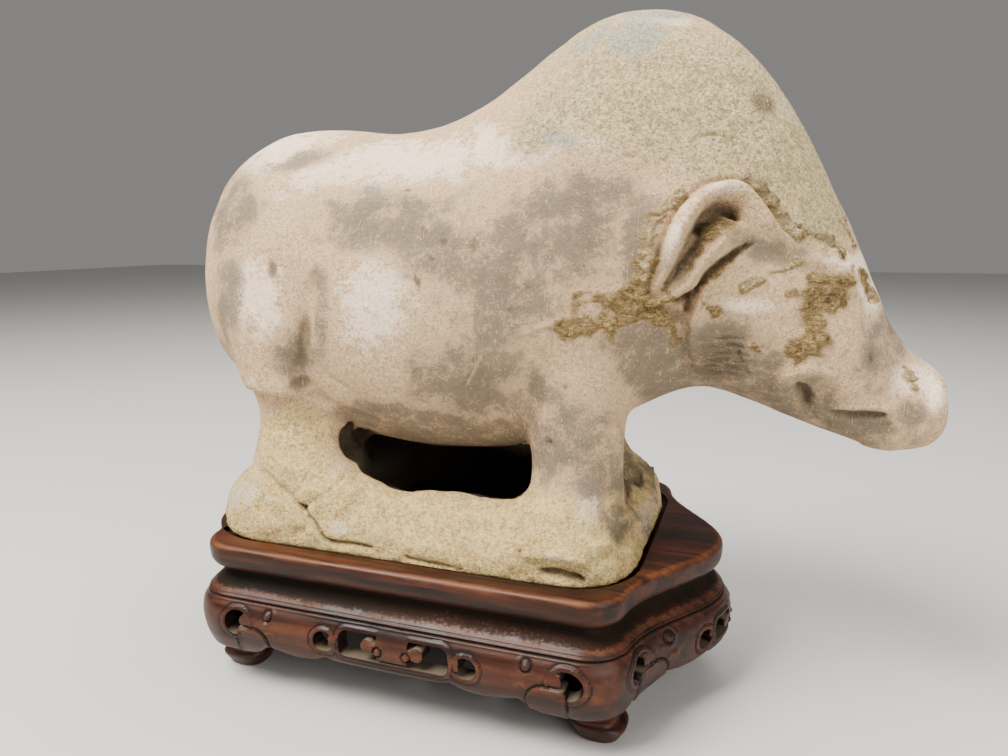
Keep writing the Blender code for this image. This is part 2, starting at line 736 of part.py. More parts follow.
def main():
    """Builds both pieces and gives each its material."""
    clear_scene()
    collection = bpy.data.collections.new(COLLECTION_NAME)
    cutters = bpy.data.collections.new("cutters")
    bpy.context.scene.collection.children.link(collection)
    bpy.context.scene.collection.children.link(cutters)
    pig = figure(collection)
    cut(pig, cutter("base_hollow", base_hollow(), cutters))
    below = block((-PIG_LENGTH, -PIG_LENGTH, 0.0), (PIG_LENGTH, PIG_LENGTH, BASE_BOTTOM))
    cut(pig, cutter("flat_underside", below, cutters))
    apply_modifiers(pig)
    wood = stand(collection, cutters)
    centre_over_origin([pig, wood])
    pig.data.materials.append(material("pinkish_buff_pottery", (0.60, 0.49, 0.38), 0.9))
    wood.data.materials.append(material("dark_hardwood", (0.075, 0.022, 0.012), 0.35))


main()
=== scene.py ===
"""Looks of a pottery pig figure on its carved hardwood stand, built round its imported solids.

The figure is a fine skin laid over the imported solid, softened, and then carved by height fields. The
stand is a set of profiles carried along one lobed outline. Sizes are in metres, heights count from the
surface that the stand's feet rest on, and marks on the figure are placed by their pixels in the
photograph, which is 1008 pixels wide and 756 high.
"""
import math

import bmesh
import bpy
import numpy as np
from bpy.props import FloatProperty, FloatVectorProperty, IntProperty, PointerProperty
from mathutils import Matrix, Vector


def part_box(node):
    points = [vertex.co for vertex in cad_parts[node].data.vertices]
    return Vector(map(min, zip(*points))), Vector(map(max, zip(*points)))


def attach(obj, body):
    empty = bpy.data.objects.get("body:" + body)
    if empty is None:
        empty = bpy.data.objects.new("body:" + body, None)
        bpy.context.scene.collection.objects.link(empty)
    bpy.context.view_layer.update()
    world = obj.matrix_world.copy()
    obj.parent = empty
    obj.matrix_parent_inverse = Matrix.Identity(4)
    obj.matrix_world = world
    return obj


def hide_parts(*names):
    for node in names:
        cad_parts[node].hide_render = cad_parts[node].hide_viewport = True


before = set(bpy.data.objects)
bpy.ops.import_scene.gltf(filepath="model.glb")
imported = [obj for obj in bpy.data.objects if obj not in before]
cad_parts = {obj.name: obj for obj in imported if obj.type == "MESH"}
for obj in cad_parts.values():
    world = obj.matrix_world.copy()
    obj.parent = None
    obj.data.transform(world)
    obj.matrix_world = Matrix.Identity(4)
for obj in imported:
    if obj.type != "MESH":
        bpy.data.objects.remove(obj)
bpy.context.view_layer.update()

bl_info = {
    "name": "Pottery pig figure",
    "version": (1, 0, 0),
    "blender": (4, 5, 0),
    "location": "3D View > Sidebar > Pottery pig",
    "description": "Builds an old pottery pig on its carved hardwood stand",
    "category": "Add Mesh",
}

MM = 0.001
PIG_LOW, PIG_HIGH = (np.array(corner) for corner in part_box("pottery_pig"))
STAND_LOW, STAND_HIGH = (np.array(corner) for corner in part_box("wooden_stand"))
STAND_MIDDLE_X = (STAND_LOW[0] + STAND_HIGH[0]) / 2
STAND_TOP = STAND_HIGH[2]
BASE_BOTTOM = PIG_LOW[2]
# The figure's own places count along X from a point between its legs
LEGS_MIDDLE_X = STAND_MIDDLE_X - 2 * MM

# The photograph's camera
IMAGE_WIDTH = 1008
IMAGE_HEIGHT = 756
SENSOR_WIDTH = 36.0
FOCAL_PIXELS = 756.9
CAMERA_PLACE = np.array([LEGS_MIDDLE_X + 109.2 * MM, -251.2 * MM, 151.2 * MM])
CAMERA_YAW = math.radians(19.53)
CAMERA_PITCH = math.radians(10.76)
CAMERA_ROLL = math.radians(-0.28)


def camera_axes():
    """Unit vectors to the right, up and forward of the camera, from its yaw, pitch and roll."""
    forward = np.array([
        -math.sin(CAMERA_YAW) * math.cos(CAMERA_PITCH),
        math.cos(CAMERA_YAW) * math.cos(CAMERA_PITCH),
        -math.sin(CAMERA_PITCH),
    ])
    level = np.array([math.cos(CAMERA_YAW), math.sin(CAMERA_YAW), 0.0])
    upright = np.cross(level, forward)
    turn, tilt = math.cos(CAMERA_ROLL), math.sin(CAMERA_ROLL)
    return level * turn + upright * tilt, upright * turn - level * tilt, forward


def in_photograph(points):
    """Pixels of points as the camera sees them. The far half is mirrored on to the near half first.

    A pixel is the image's middle plus the focal length times the sideways share of the depth.
    """
    right, up, forward = camera_axes()
    near = np.column_stack([points[:, 0], -np.abs(points[:, 1]), points[:, 2]]) - CAMERA_PLACE
    depth = near @ forward
    return np.column_stack([
        IMAGE_WIDTH / 2 + FOCAL_PIXELS * (near @ right) / depth,
        IMAGE_HEIGHT / 2 - FOCAL_PIXELS * (near @ up) / depth,
    ])


def lattice_noise(points, size, seed):
    """Smooth noise from -1 to 1: random values on a cubic lattice, blended by 3t^2 - 2t^3 between them."""
    table = np.random.default_rng(seed).uniform(-1, 1, (32, 32, 32))
    cell = points / size
    low = np.floor(cell).astype(int)
    share = cell - low
    share = share * share * (3 - 2 * share)
    value = np.zeros(len(points))
    for corner in np.ndindex(2, 2, 2):
        weight = np.prod(np.where(np.array(corner) == 1, share, 1 - share), axis=1)
        i, j, k = ((low + corner) % 32).T
        value += weight * table[i, j, k]
    return value


def smooth_step(value, low, high):
    """0 below low, 1 above high, and 3t^2 - 2t^3 between them."""
    t = np.clip((value - low) / (high - low), 0, 1)
    return t * t * (3 - 2 * t)


def across(pixels, path, reach):
    """Signed distance of pixels from a smooth path, and the share of the path that they lie at.

    The path is the Catmull-Rom curve through its corners. Distances are positive to the right of its
    course, and infinite for pixels farther than the reach outside its box.
    """
    course = rows_through(path, 12)
    ahead = np.gradient(course, axis=0)
    ahead /= np.linalg.norm(ahead, axis=1)[:, None]
    steps = np.linalg.norm(np.diff(course, axis=0), axis=1)
    places = np.concatenate([[0], np.cumsum(steps)]) / steps.sum()
    distance, share = np.full(len(pixels), np.inf), np.zeros(len(pixels))
    inside = ((pixels > course.min(axis=0) - reach) & (pixels < course.max(axis=0) + reach)).all(axis=1)
    rows = np.where(inside)[0]
    for block in np.array_split(rows, len(rows) // 4000 + 1):
        gap = pixels[block, None] - course[None]
        nearest = (gap**2).sum(axis=-1).argmin(axis=1)
        gap = gap[np.arange(len(block)), nearest]
        along = (gap * ahead[nearest]).sum(axis=1)
        side = gap[:, 1] * ahead[nearest, 0] - gap[:, 0] * ahead[nearest, 1]
        before = np.where(nearest == 0, np.maximum(-along, 0), 0)
        after = np.where(nearest == len(course) - 1, np.maximum(along, 0), 0)
        distance[block] = np.copysign(np.hypot(side, before + after), side)
        share[block] = places[nearest]
    return distance, share


def stroke(pixels, path, width):
    """A soft line: exp(-(distance / width)^2.5), thinned towards both ends of the path."""
    distance, share = across(pixels, path, 3 * width)
    taper = np.clip(4 * share * (1 - share), 0.06, 1)**0.35
    return np.exp(-(np.abs(distance) / (width * taper))**2.5)


def edge_across(pixels, path, profile):
    """A raised edge: the heights of a profile over the signed distances, faded towards the path's ends."""
    distances, heights = rows_through(profile, 6).T
    distance, share = across(pixels, path, np.abs(distances).max() + 2)
    fade = smooth_step(share, 0, 0.12) * smooth_step(1 - share, 0, 0.2)
    return np.interp(distance, distances, heights) * fade


def cover(pixels, strokes):
    """How deep pixels lie in any stroke (path, half width): 1 on its path, 0 at its rim, less outside."""
    best = np.full(len(pixels), -3.0)
    for path, width in strokes:
        distance, _ = across(pixels, path, 4 * width)
        best = np.maximum(best, 1 - np.abs(distance) / width)
    return best


def blot(pixels, ovals):
    """How deep pixels lie in any oval (u, v, half sizes, turn): 1 at its middle, 0 at its rim."""
    best = np.full(len(pixels), -3.0)
    for u, v, half_width, half_height, degrees in ovals:
        cosine, sine = math.cos(math.radians(degrees)), math.sin(math.radians(degrees))
        across_oval, down = pixels[:, 0] - u, pixels[:, 1] - v
        x = (across_oval * cosine + down * sine) / half_width
        y = (down * cosine - across_oval * sine) / half_height
        best = np.maximum(best, 1 - np.hypot(x, y))
    return best


# Lines carved or raised on the figure: path in the photograph's pixels, half width in pixels, height in mm
LINES = {
    "ear hollow": ([(665, 281), (676, 268), (688, 250), (697, 232), (709, 217), (724, 211), (735, 217)],
                   9, -2.8),
    "ear depth": ([(698, 232), (706, 217), (718, 208), (731, 210), (738, 218)], 8, -3.6),
    "ear inner ridge": ([(648, 302), (662, 298), (679, 288), (691, 277), (700, 263), (711, 250), (724, 238)],
                        5.5, 3.2),
    "ear inner groove": ([(698, 292), (707, 277), (720, 264), (734, 255), (752, 242)], 4.5, -2.6),
    "pocket under ear": ([(674, 304), (684, 302), (693, 297), (700, 288)], 4.5, -3.4),
    "pocket foot": ([(689, 299), (689, 306), (686, 313)], 5, -2.2),
    "ear underside": ([(648, 309), (662, 308), (676, 303)], 4, -1.6),
    "brow": ([(804, 262), (822, 264), (840, 271), (850, 285)], 9, 1.7),
    "eyelid": ([(811, 277), (826, 283), (841, 297)], 3.5, 1.5),
    "eye hollow": ([(806, 322), (818, 306), (830, 296)], 13, -1.7),
    "brow bump": ([(832, 251), (840, 255)], 6, 1.4),
    "brow bump low": ([(818, 249), (824, 252)], 5, 0.9),
    "brow bump front": ([(846, 262), (850, 268)], 5, 0.9),
    "nose edge pit": ([(863, 272), (869, 290), (873, 303)], 4, -0.9),
    "cheek pit": ([(799, 386), (804, 394), (808, 403)], 8, -3.2),
    "cheek pit side": ([(817, 389), (823, 395), (825, 402)], 8, -1.1),
    "cheek pit ridge": ([(774, 390), (786, 377), (800, 371), (818, 371), (834, 376)], 6, 1.5),
    "mouth": ([(830, 413), (846, 416), (862, 417), (886, 416)], 5.0, -1.8),
    "upper lip": ([(828, 407), (846, 409), (866, 410), (894, 410)], 4.0, 0.5),
    "below mouth": ([(856, 424), (872, 428), (890, 425)], 5, -0.7),
    "chin": ([(862, 440), (884, 446), (904, 440)], 8, 0.8),
    "snout rim": ([(936, 368), (941, 384), (939, 402), (931, 420), (918, 438)], 5, 0.4),
    "snout groove": ([(925, 366), (930, 384), (928, 404), (919, 424)], 5.5, -0.35),
    "nick": ([(871, 354), (874, 364)], 2.4, -0.9),
    "jaw crack": ([(811, 408), (813, 413), (816, 418)], 1.6, -0.9),
    "jaw crack front": ([(825, 420), (827, 425), (828, 430)], 1.6, -0.9),
    "cheek scratch": ([(738, 347), (741, 359), (749, 375)], 1.5, -0.8),
    "hind crease": ([(313, 276), (308, 300), (304, 322), (301, 345), (302, 366), (310, 388), (328, 404)],
                    10, -1.4),
    "hind crease core": ([(306, 306), (302, 330), (300, 352), (304, 378), (316, 396)], 3, -0.3),
    "belly fold": ([(309, 395), (330, 402), (352, 411), (378, 420)], 3.2, -0.8),
    "belly fold high": ([(330, 378), (352, 392), (374, 408)], 2.4, -0.5),
    "flank crack": ([(404, 276), (410, 281), (419, 285)], 1.6, -0.8),
    "flank scratch a": ([(466, 391), (474, 375), (481, 358), (486, 343)], 2.0, 0.55),
    "flank scratch a foot": ([(462, 389), (470, 373), (477, 356)], 1.5, -0.5),
    "flank scratch b": ([(406, 386), (411, 376), (418, 363)], 1.8, 0.45),
    "flank scratch c": ([(505, 334), (525, 334), (542, 327), (562, 321)], 1.8, 0.5),
    "flank scratch d": ([(528, 285), (518, 297), (507, 310)], 1.8, 0.4),
    "hump crack": ([(689, 143), (703, 135), (718, 134), (735, 141)], 1.8, -0.8),
    "hump crack low": ([(618, 123), (634, 120), (648, 118)], 1.5, -0.6),
    "hump crack foot": ([(624, 154), (632, 156), (641, 153)], 1.8, -0.7),
    "front leg crease": ([(520, 395), (524, 425), (526, 455), (524, 486)], 6, -0.9),
    "front leg recess": ([(627, 466), (631, 488), (630, 508)], 7, -2.4),
    "front leg edge": ([(616, 430), (619, 462), (618, 494)], 6, 0.8),
    "front foot": ([(534, 534), (568, 541), (604, 545)], 15, 1.1),
    "toe": ([(525, 555), (545, 554), (566, 556), (583, 562)], 6.5, 3.0),
    "toe hollow": ([(541, 571), (560, 573), (584, 580)], 5, -2.6),
    "toe side": ([(519, 550), (521, 562), (527, 580)], 3.5, -1.6),
    "side toe": ([(623, 521), (637, 521), (650, 528)], 7, 1.7),
    "side toe hollow": ([(620, 537), (636, 543), (648, 551)], 5, -1.4),
    "base crack": ([(300, 508), (308, 517), (318, 530), (324, 540), (338, 543), (355, 545), (373, 549)],
                   2.4, -1.9),
    "base crack end": ([(404, 558), (420, 563), (440, 566), (460, 570)], 2.4, -1.1),
    "base pit": ([(297, 505), (304, 511)], 4, -2.0),
    "foot seam": ([(262, 470), (272, 481), (286, 496), (301, 509)], 3.4, -1.3),
    "foot seam front": ([(301, 509), (314, 500), (330, 491), (345, 476)], 3.2, -1.0),
    "hind toe": ([(272, 500), (284, 512), (302, 526)], 8, 0.9),
    "leg pit": ([(545, 441), (551, 446)], 4, -1.2),
    "chest pit": ([(564, 386), (568, 389)], 3.0, -0.8),
}

# Edges on the figure: path in pixels, and heights in mm over the pixels to the right of its course
EDGES = {
    "ear": ([(648, 300), (656, 273), (666, 243), (675, 219), (687, 202), (702, 189), (719, 183), (733, 182),
             (746, 187), (756, 197), (766, 211), (777, 225), (791, 238), (800, 249)],
            [(-7, 0), (-3, -0.7), (-1, -0.2), (1, 2.2), (3.5, 4.0), (8, 4.8), (12.5, 4.3), (17, 2.9),
             (24, 1.5), (32, 0.6), (44, 0)]),
    "jowl": ([(698, 288), (691, 306), (687, 325), (687, 343), (692, 360), (702, 374)],
             [(-34, 0), (-18, 0.9), (-7, 1.7), (-2.5, 1.5), (0.5, 0.0), (3, -0.9), (8, -0.9), (20, 0)]),
    "thigh": ([(243, 384), (256, 390), (280, 396), (308, 398)],
              [(-24, 0), (-13, 0.9), (-5, 1.7), (-1.5, 1.2), (1, -0.7), (4, -1.2), (10, -0.4), (19, 0)]),
}

# The side of the head that is smoothed flat before the ear is carved, and the rounds of smoothing
EAR_AREA = (712, 240, 78, 86, -40)
EAR_SOFTEN_STEPS = 110

# Cheek wrinkles: the oval that they fill and their spacing in pixels, and their height in mm
WRINKLES = (720, 358, 44, 34, 10)
WRINKLE_SPACING = 7.0
WRINKLE_HEIGHT = 0.8

# Clinging earth, as strokes: path in pixels and half width in pixels
EARTH = [
    ([(678, 199), (662, 212), (652, 230), (648, 252), (647, 274)], 8.5),
    ([(647, 274), (641, 288), (627, 296)], 13), ([(584, 299), (604, 305), (622, 310), (642, 304)], 11.5),
    ([(564, 332), (584, 328), (604, 326), (622, 320)], 8.5), ([(604, 316), (613, 328), (612, 341)], 8),
    ([(654, 311), (668, 322), (676, 336)], 10), ([(652, 300), (664, 300), (674, 296)], 6),
    ([(704, 234), (715, 226), (730, 225)], 9), ([(701, 243), (690, 257), (678, 272), (666, 286)], 6),
    ([(702, 288), (713, 273), (726, 262), (737, 253)], 5.5),
    ([(748, 183), (762, 190), (775, 203), (783, 217), (794, 229), (812, 235), (832, 240)], 7),
    ([(839, 221), (848, 234), (854, 246)], 4.5), ([(834, 251), (841, 256)], 4.5),
    ([(744, 287), (752, 284), (761, 280)], 4.5), ([(769, 272), (782, 269), (795, 263)], 4.5),
    ([(704, 305), (714, 313)], 5.5), ([(756, 347), (761, 353)], 4),
    ([(788, 292), (804, 291), (818, 288)], 6), ([(812, 280), (832, 281), (848, 283)], 9),
    ([(822, 294), (819, 312), (811, 330)], 17), ([(838, 292), (832, 308)], 11),
    ([(808, 334), (801, 350)], 16), ([(790, 355), (812, 355)], 6),
    ([(863, 272), (868, 288), (873, 302)], 5), ([(909, 375), (915, 386)], 6.5),
    ([(626, 470), (630, 488), (629, 506)], 5),
]

# Where the earth is paler, as strokes too
PALE_EARTH = [
    ([(748, 183), (762, 190), (775, 203), (783, 217), (794, 229), (812, 235), (832, 240)], 14),
    ([(678, 199), (662, 212), (652, 230), (648, 252), (647, 274)], 12),
    ([(744, 287), (770, 272), (795, 263)], 8), ([(839, 221), (848, 234), (854, 246)], 8),
    ([(909, 375), (915, 386)], 14), ([(690, 257), (672, 280)], 8),
]

# Patches of colour, as ovals in pixels: middle, half width, half height and turn in degrees
# Grey staining, except two ovals that are painted shadow: the one under the ear at (662, 362) and the one
# under the jaw at (765, 387)
STAIN_AND_SHADE = [
    (385, 220, 70, 38, 5), (500, 290, 55, 80, 10), (560, 235, 90, 55, 20), (450, 250, 60, 40, 0),
    (236, 210, 26, 40, 10), (322, 312, 12, 42, 0), (292, 355, 22, 28, 0), (590, 205, 60, 40, 0),
    (465, 375, 60, 40, 10), (640, 250, 30, 60, 0), (885, 345, 32, 50, 25), (912, 415, 18, 18, 0),
    (770, 250, 40, 16, 20), (720, 350, 50, 40, 0), (570, 440, 50, 50, 0), (865, 425, 40, 14, 0),
    (600, 480, 36, 30, 0), (662, 362, 34, 36, 0), (765, 387, 50, 14, 15), (776, 360, 18, 10, -35),
    (430, 428, 90, 20, 8), (640, 350, 40, 40, 0), (806, 398, 26, 18, 0), (700, 384, 70, 14, 5),
    (620, 520, 34, 24, 0), (536, 400, 12, 40, 0), (820, 395, 26, 20, 0), (300, 160, 40, 10, -15),
    (230, 300, 14, 50, 0),
]
PALE = [
    (400, 165, 130, 28, -6), (500, 150, 60, 26, -15), (372, 305, 40, 52, 0), (255, 300, 34, 40, 0),
    (722, 190, 34, 9, -10), (555, 555, 30, 8, 5), (590, 510, 30, 30, 0), (640, 524, 14, 10, 0),
    (850, 262, 26, 16, 10), (872, 300, 11, 34, -15), (912, 378, 30, 22, 20), (745, 306, 30, 10, 0),
    (645, 520, 14, 40, 10), (938, 392, 14, 20, 0), (478, 546, 14, 6, 0), (340, 528, 20, 14, 0),
    (245, 495, 22, 36, 20), (560, 120, 50, 14, -40), (708, 146, 12, 9, 0), (290, 150, 60, 22, -15),
    (676, 228, 8, 34, 28), (590, 140, 30, 10, 10), (386, 524, 5, 4, 0), (270, 500, 10, 8, 0),
    (660, 20, 60, 5, 5), (780, 100, 8, 40, -30),
]
OLIVE = [
    (650, 90, 125, 80, 0), (730, 110, 75, 90, 20), (560, 110, 60, 26, -35), (780, 160, 50, 60, 30),
    (820, 210, 30, 50, -20), (540, 132, 40, 18, -30),
]
SLATE = [
    (635, 36, 38, 28, -20), (650, 14, 60, 9, 0), (590, 40, 40, 9, -38), (560, 140, 26, 9, 10),
    (720, 25, 30, 6, 30),
]
# Brown patches: dirt spots on the flank and hump, and painted shade in the hind crease, under the thigh, in
# the front leg's recess, the pit under the ear, the cheek pit and below the mouth
BROWN_DIRT_AND_SHADE = [
    (302, 340, 12, 38, 5), (270, 270, 6, 15, 0), (415, 282, 5, 15, -15), (406, 191, 5, 4, 0),
    (425, 232, 6, 10, 0), (445, 242, 6, 6, 0), (475, 244, 9, 13, 0), (430, 257, 6, 4, 0),
    (300, 384, 18, 10, 0), (762, 104, 18, 15, 30), (628, 492, 9, 24, 0), (672, 318, 18, 16, 0),
    (806, 395, 9, 12, 0), (864, 419, 26, 4, 0),
]
PATCHES = {"stain_and_shade": STAIN_AND_SHADE, "pale": PALE, "olive": OLIVE, "slate": SLATE, "brown": BROWN_DIRT_AND_SHADE}

# Where the gap under the belly ends in a corner that smoothing would round off, and that corner's course
GAP_CORNER = (358, 440, 44, 40, 0)
# Painted shadow: this course is carved in and also painted near black
GAP_END = [([(350, 426), (350, 439), (358, 451), (371, 461)], 8.5), ([(360, 432), (365, 441), (370, 452)], 8)]
GAP_END_DEPTH = 5.0
# Rough yellowish clay on the hind leg, like the base's
ROUGH_LEG = [(296, 448, 50, 56, 0)]

# Tail against the rump, seen from behind: place to the left and depth below the base's bottom in mm
TAIL = [(0, -118), (1, -108), (3, -97), (7, -89)]
TAIL_HALF_WIDTH = 3.6
TAIL_HEIGHT = 2.6

# Nostrils on the snout's flat end: place, distance out and height in mm, half width, depth
NOSTRILS = [((157.5, 5.2, 54.0), 2.6, 3.4)]


def length(name, description, default):
    """A setting that is a length in metres."""
    return FloatProperty(name=name, description=description, default=default,
                         subtype="DISTANCE", unit="LENGTH")


def tint(name, description, default):
    """A setting that is a colour."""
    return FloatVectorProperty(name=name, description=description, default=default, subtype="COLOR")


class PotterySettings(bpy.types.PropertyGroup):
    """Sizes and colours of the figure's clay skin."""

    voxel: length("Skin cell", "Size of the skin's cells", 2.25 * MM)
    soften_steps: IntProperty(name="Softening", description="Rounds of smoothing of the facets", default=22)
    swell: length("Swell", "Height of the broad unevenness of the clay", 0.35 * MM)
    crust: length("Crust", "Thickness of the earth that clings to the clay", 0.75 * MM)
    rough_base: length("Rough base", "Height of the lumps of the clay base", 0.95 * MM)
    clay: tint("Clay", "Pinkish buff of the bare clay", (0.56, 0.39, 0.225))
    pale: tint("Pale clay", "Pinkish white where the surface is clean", (0.86, 0.69, 0.51))
    # Grey of the staining, also laid on as painted shade on surfaces that face down and under the ear and the
    # jaw
    stain_and_shade: tint("Stain", "Grey of the speckled staining", (0.145, 0.12, 0.085))
    earth: tint("Earth", "Ochre of the clinging earth", (0.58, 0.40, 0.165))
    pale_earth: tint("Pale earth", "Pale ochre of the thinner earth", (0.86, 0.65, 0.35))
    # Painted highlight: light ochre on the tops of the crumbs
    crumb_highlight_earth: tint("Bright earth", "Light ochre on top of the crumbs", (0.86, 0.66, 0.36))
    # Painted shade: dark ochre between the crumbs
    crumb_shade: tint("Crevice", "Dark ochre between the crumbs of the earth", (0.32, 0.20, 0.075))
    olive: tint("Olive clay", "Olive buff of the hump", (0.42, 0.335, 0.17))
    slate: tint("Slate", "Blue grey along the crest", (0.30, 0.31, 0.27))
    # Painted shade: near black laid inside the gap under the belly and at its end, where shadow falls
    gap: tint("Gap", "Near black clay in the gap under the belly", (0.030, 0.020, 0.012))
    # Brown of the dirt in creases, also laid on as painted shade in creases, pits and deep recesses
    brown: tint("Brown", "Brown of the dirt in creases", (0.115, 0.08, 0.048))
    base_clay: tint("Base clay", "Yellowish buff of the clay base", (0.82, 0.60, 0.25))


class StandSettings(bpy.types.PropertyGroup):
    """Sizes and colours of the carved stand."""

    board_thickness: length("Board", "Thickness of the top board", 9 * MM)
    waist_height: length("Waist", "Height of the recessed waist", 7.4 * MM)
    apron_wall: length("Apron wall", "Thickness of the pierced apron", 5.5 * MM)
    grid: length("Grid", "Spacing of the apron's surface grid", 0.52 * MM)
    # Near black of the wood's dark veins, also laid on as painted shade in the grooves, under the board and
    # on the openings' walls
    dark_wood: tint("Dark wood", "Near black of the wood's dark veins", (0.009, 0.0035, 0.0022))
    red_wood: tint("Red wood", "Red brown of the wood", (0.062, 0.016, 0.0065))
    # Orange brown of rubbed wood, also laid on as painted highlight and painted reflection
    rubbed_and_lit_wood: tint("Worn wood", "Orange brown where the wood is rubbed", (0.15, 0.053, 0.020))
    # Near black: dust, and painted shade under the board and in the grooves
    dust_and_shade: tint("Dust", "Grey green dust in the hollows", (0.013, 0.011, 0.008))
    # Pale dust on sills that face up, also standing in for the light those sills catch
    pale_dust: tint("Pale dust", "Pale dust inside the openings", (0.14, 0.115, 0.08))


class StageSettings(bpy.types.PropertyGroup):
    """Floor and light of the studio."""

    floor: tint("Floor", "Colour of the floor", (0.58, 0.57, 0.555))
    key_power: FloatProperty(name="Key light", description="Power of the large soft light in watts",
                             default=32.5)
    fill_power: FloatProperty(name="Fill light", description="Power of the soft light from the right",
                              default=10.0)
    sky: FloatProperty(name="Sky", description="Strength of the even light from all round", default=0.24)


def settings():
    """The three groups of settings, as the scene holds them."""
    scene = bpy.context.scene
    return scene.pottery_settings, scene.stand_settings, scene.stage_settings


def shaded(colour, share):
    """A colour made lighter or darker by a factor."""
    return tuple(share * part for part in colour)


class Graph:
    """The node tree of one material, with short ways to add and link nodes."""

    def __init__(self, name):
        self.material = bpy.data.materials.new(name)
        self.material.use_nodes = True
        self.tree = self.material.node_tree
        self.shader = self.tree.nodes["Principled BSDF"]
        self.place = self.node("ShaderNodeTexCoord").outputs["Object"]

    def node(self, kind, inputs=(), **options):
        """A node with its options set, and its inputs linked or filled."""
        made = self.tree.nodes.new(kind)
        for key, value in options.items():
            setattr(made, key, value)
        for key, value in dict(inputs).items():
            self.put(made.inputs[key], value)
        return made

    def put(self, socket, value):
        """Links an output to a socket, or sets a plain value on it."""
        if isinstance(value, bpy.types.NodeSocket):
            self.tree.links.new(value, socket)
        else:
            socket.default_value = value

    def math(self, operation, first, second=0.0):
        """One sum of two values."""
        made = self.node("ShaderNodeMath", {0: first, 1: second}, operation=operation)
        return made.outputs[0]

    def total(self, *parts):
        """The sum of (value, weight) pairs."""
        result = 0.0
        for value, weight in parts:
            made = self.node("ShaderNodeMath", {0: value, 1: weight, 2: result}, operation="MULTIPLY_ADD")
            result = made.outputs[0]
        return result

    def noise(self, size, detail=3.0, roughness=0.55, vector=None, distortion=0.0):
        """Noise whose largest features have the given size in metres."""
        made = self.node("ShaderNodeTexNoise", {
            "Vector": vector or self.place, "Scale": 1 / size, "Detail": detail,
            "Roughness": roughness, "Distortion": distortion,
        })
        return made.outputs["Fac"]

    def attribute(self, name):
        """A value stored on the mesh's points."""
        return self.node("ShaderNodeAttribute", attribute_name=name).outputs["Fac"]

    def step(self, value, low, high):
        """0 below low and 1 above high, smoothly."""
        made = self.node("ShaderNodeMapRange", {"Value": value, "From Min": low, "From Max": high},
                         interpolation_type="SMOOTHSTEP")
        return made.outputs["Result"]

    def mix(self, share, first, second, blend="MIX"):
        """A mixture of two colours."""
        made = self.node("ShaderNodeMix", data_type="RGBA", blend_type=blend)
        for socket, value in zip((made.inputs[0], made.inputs[6], made.inputs[7]), (share, first, second)):
            if isinstance(value, (bpy.types.NodeSocket, float)):
                self.put(socket, value)
            else:
                socket.default_value = (*value, 1.0)
        return made.outputs[2]

    def laid(self, colour, mask, share, paint):
        """A paint laid over a colour by a mask times a share."""
        return self.mix(self.math("MULTIPLY", mask, share), colour, paint)

    def stretched(self, turn, scale):
        """Object coordinates turned by degrees about each axis and stretched."""
        made = self.node("ShaderNodeMapping", {
            "Vector": self.place, "Rotation": [math.radians(angle) for angle in turn], "Scale": scale,
        })
        return made.outputs["Vector"]

    def bump(self, height, distance, normal=None):
        """A bump of the given height in metres."""
        inputs = {"Height": height, "Distance": distance, "Strength": 1.0}
        if normal:
            inputs["Normal"] = normal
        return self.node("ShaderNodeBump", inputs).outputs["Normal"]


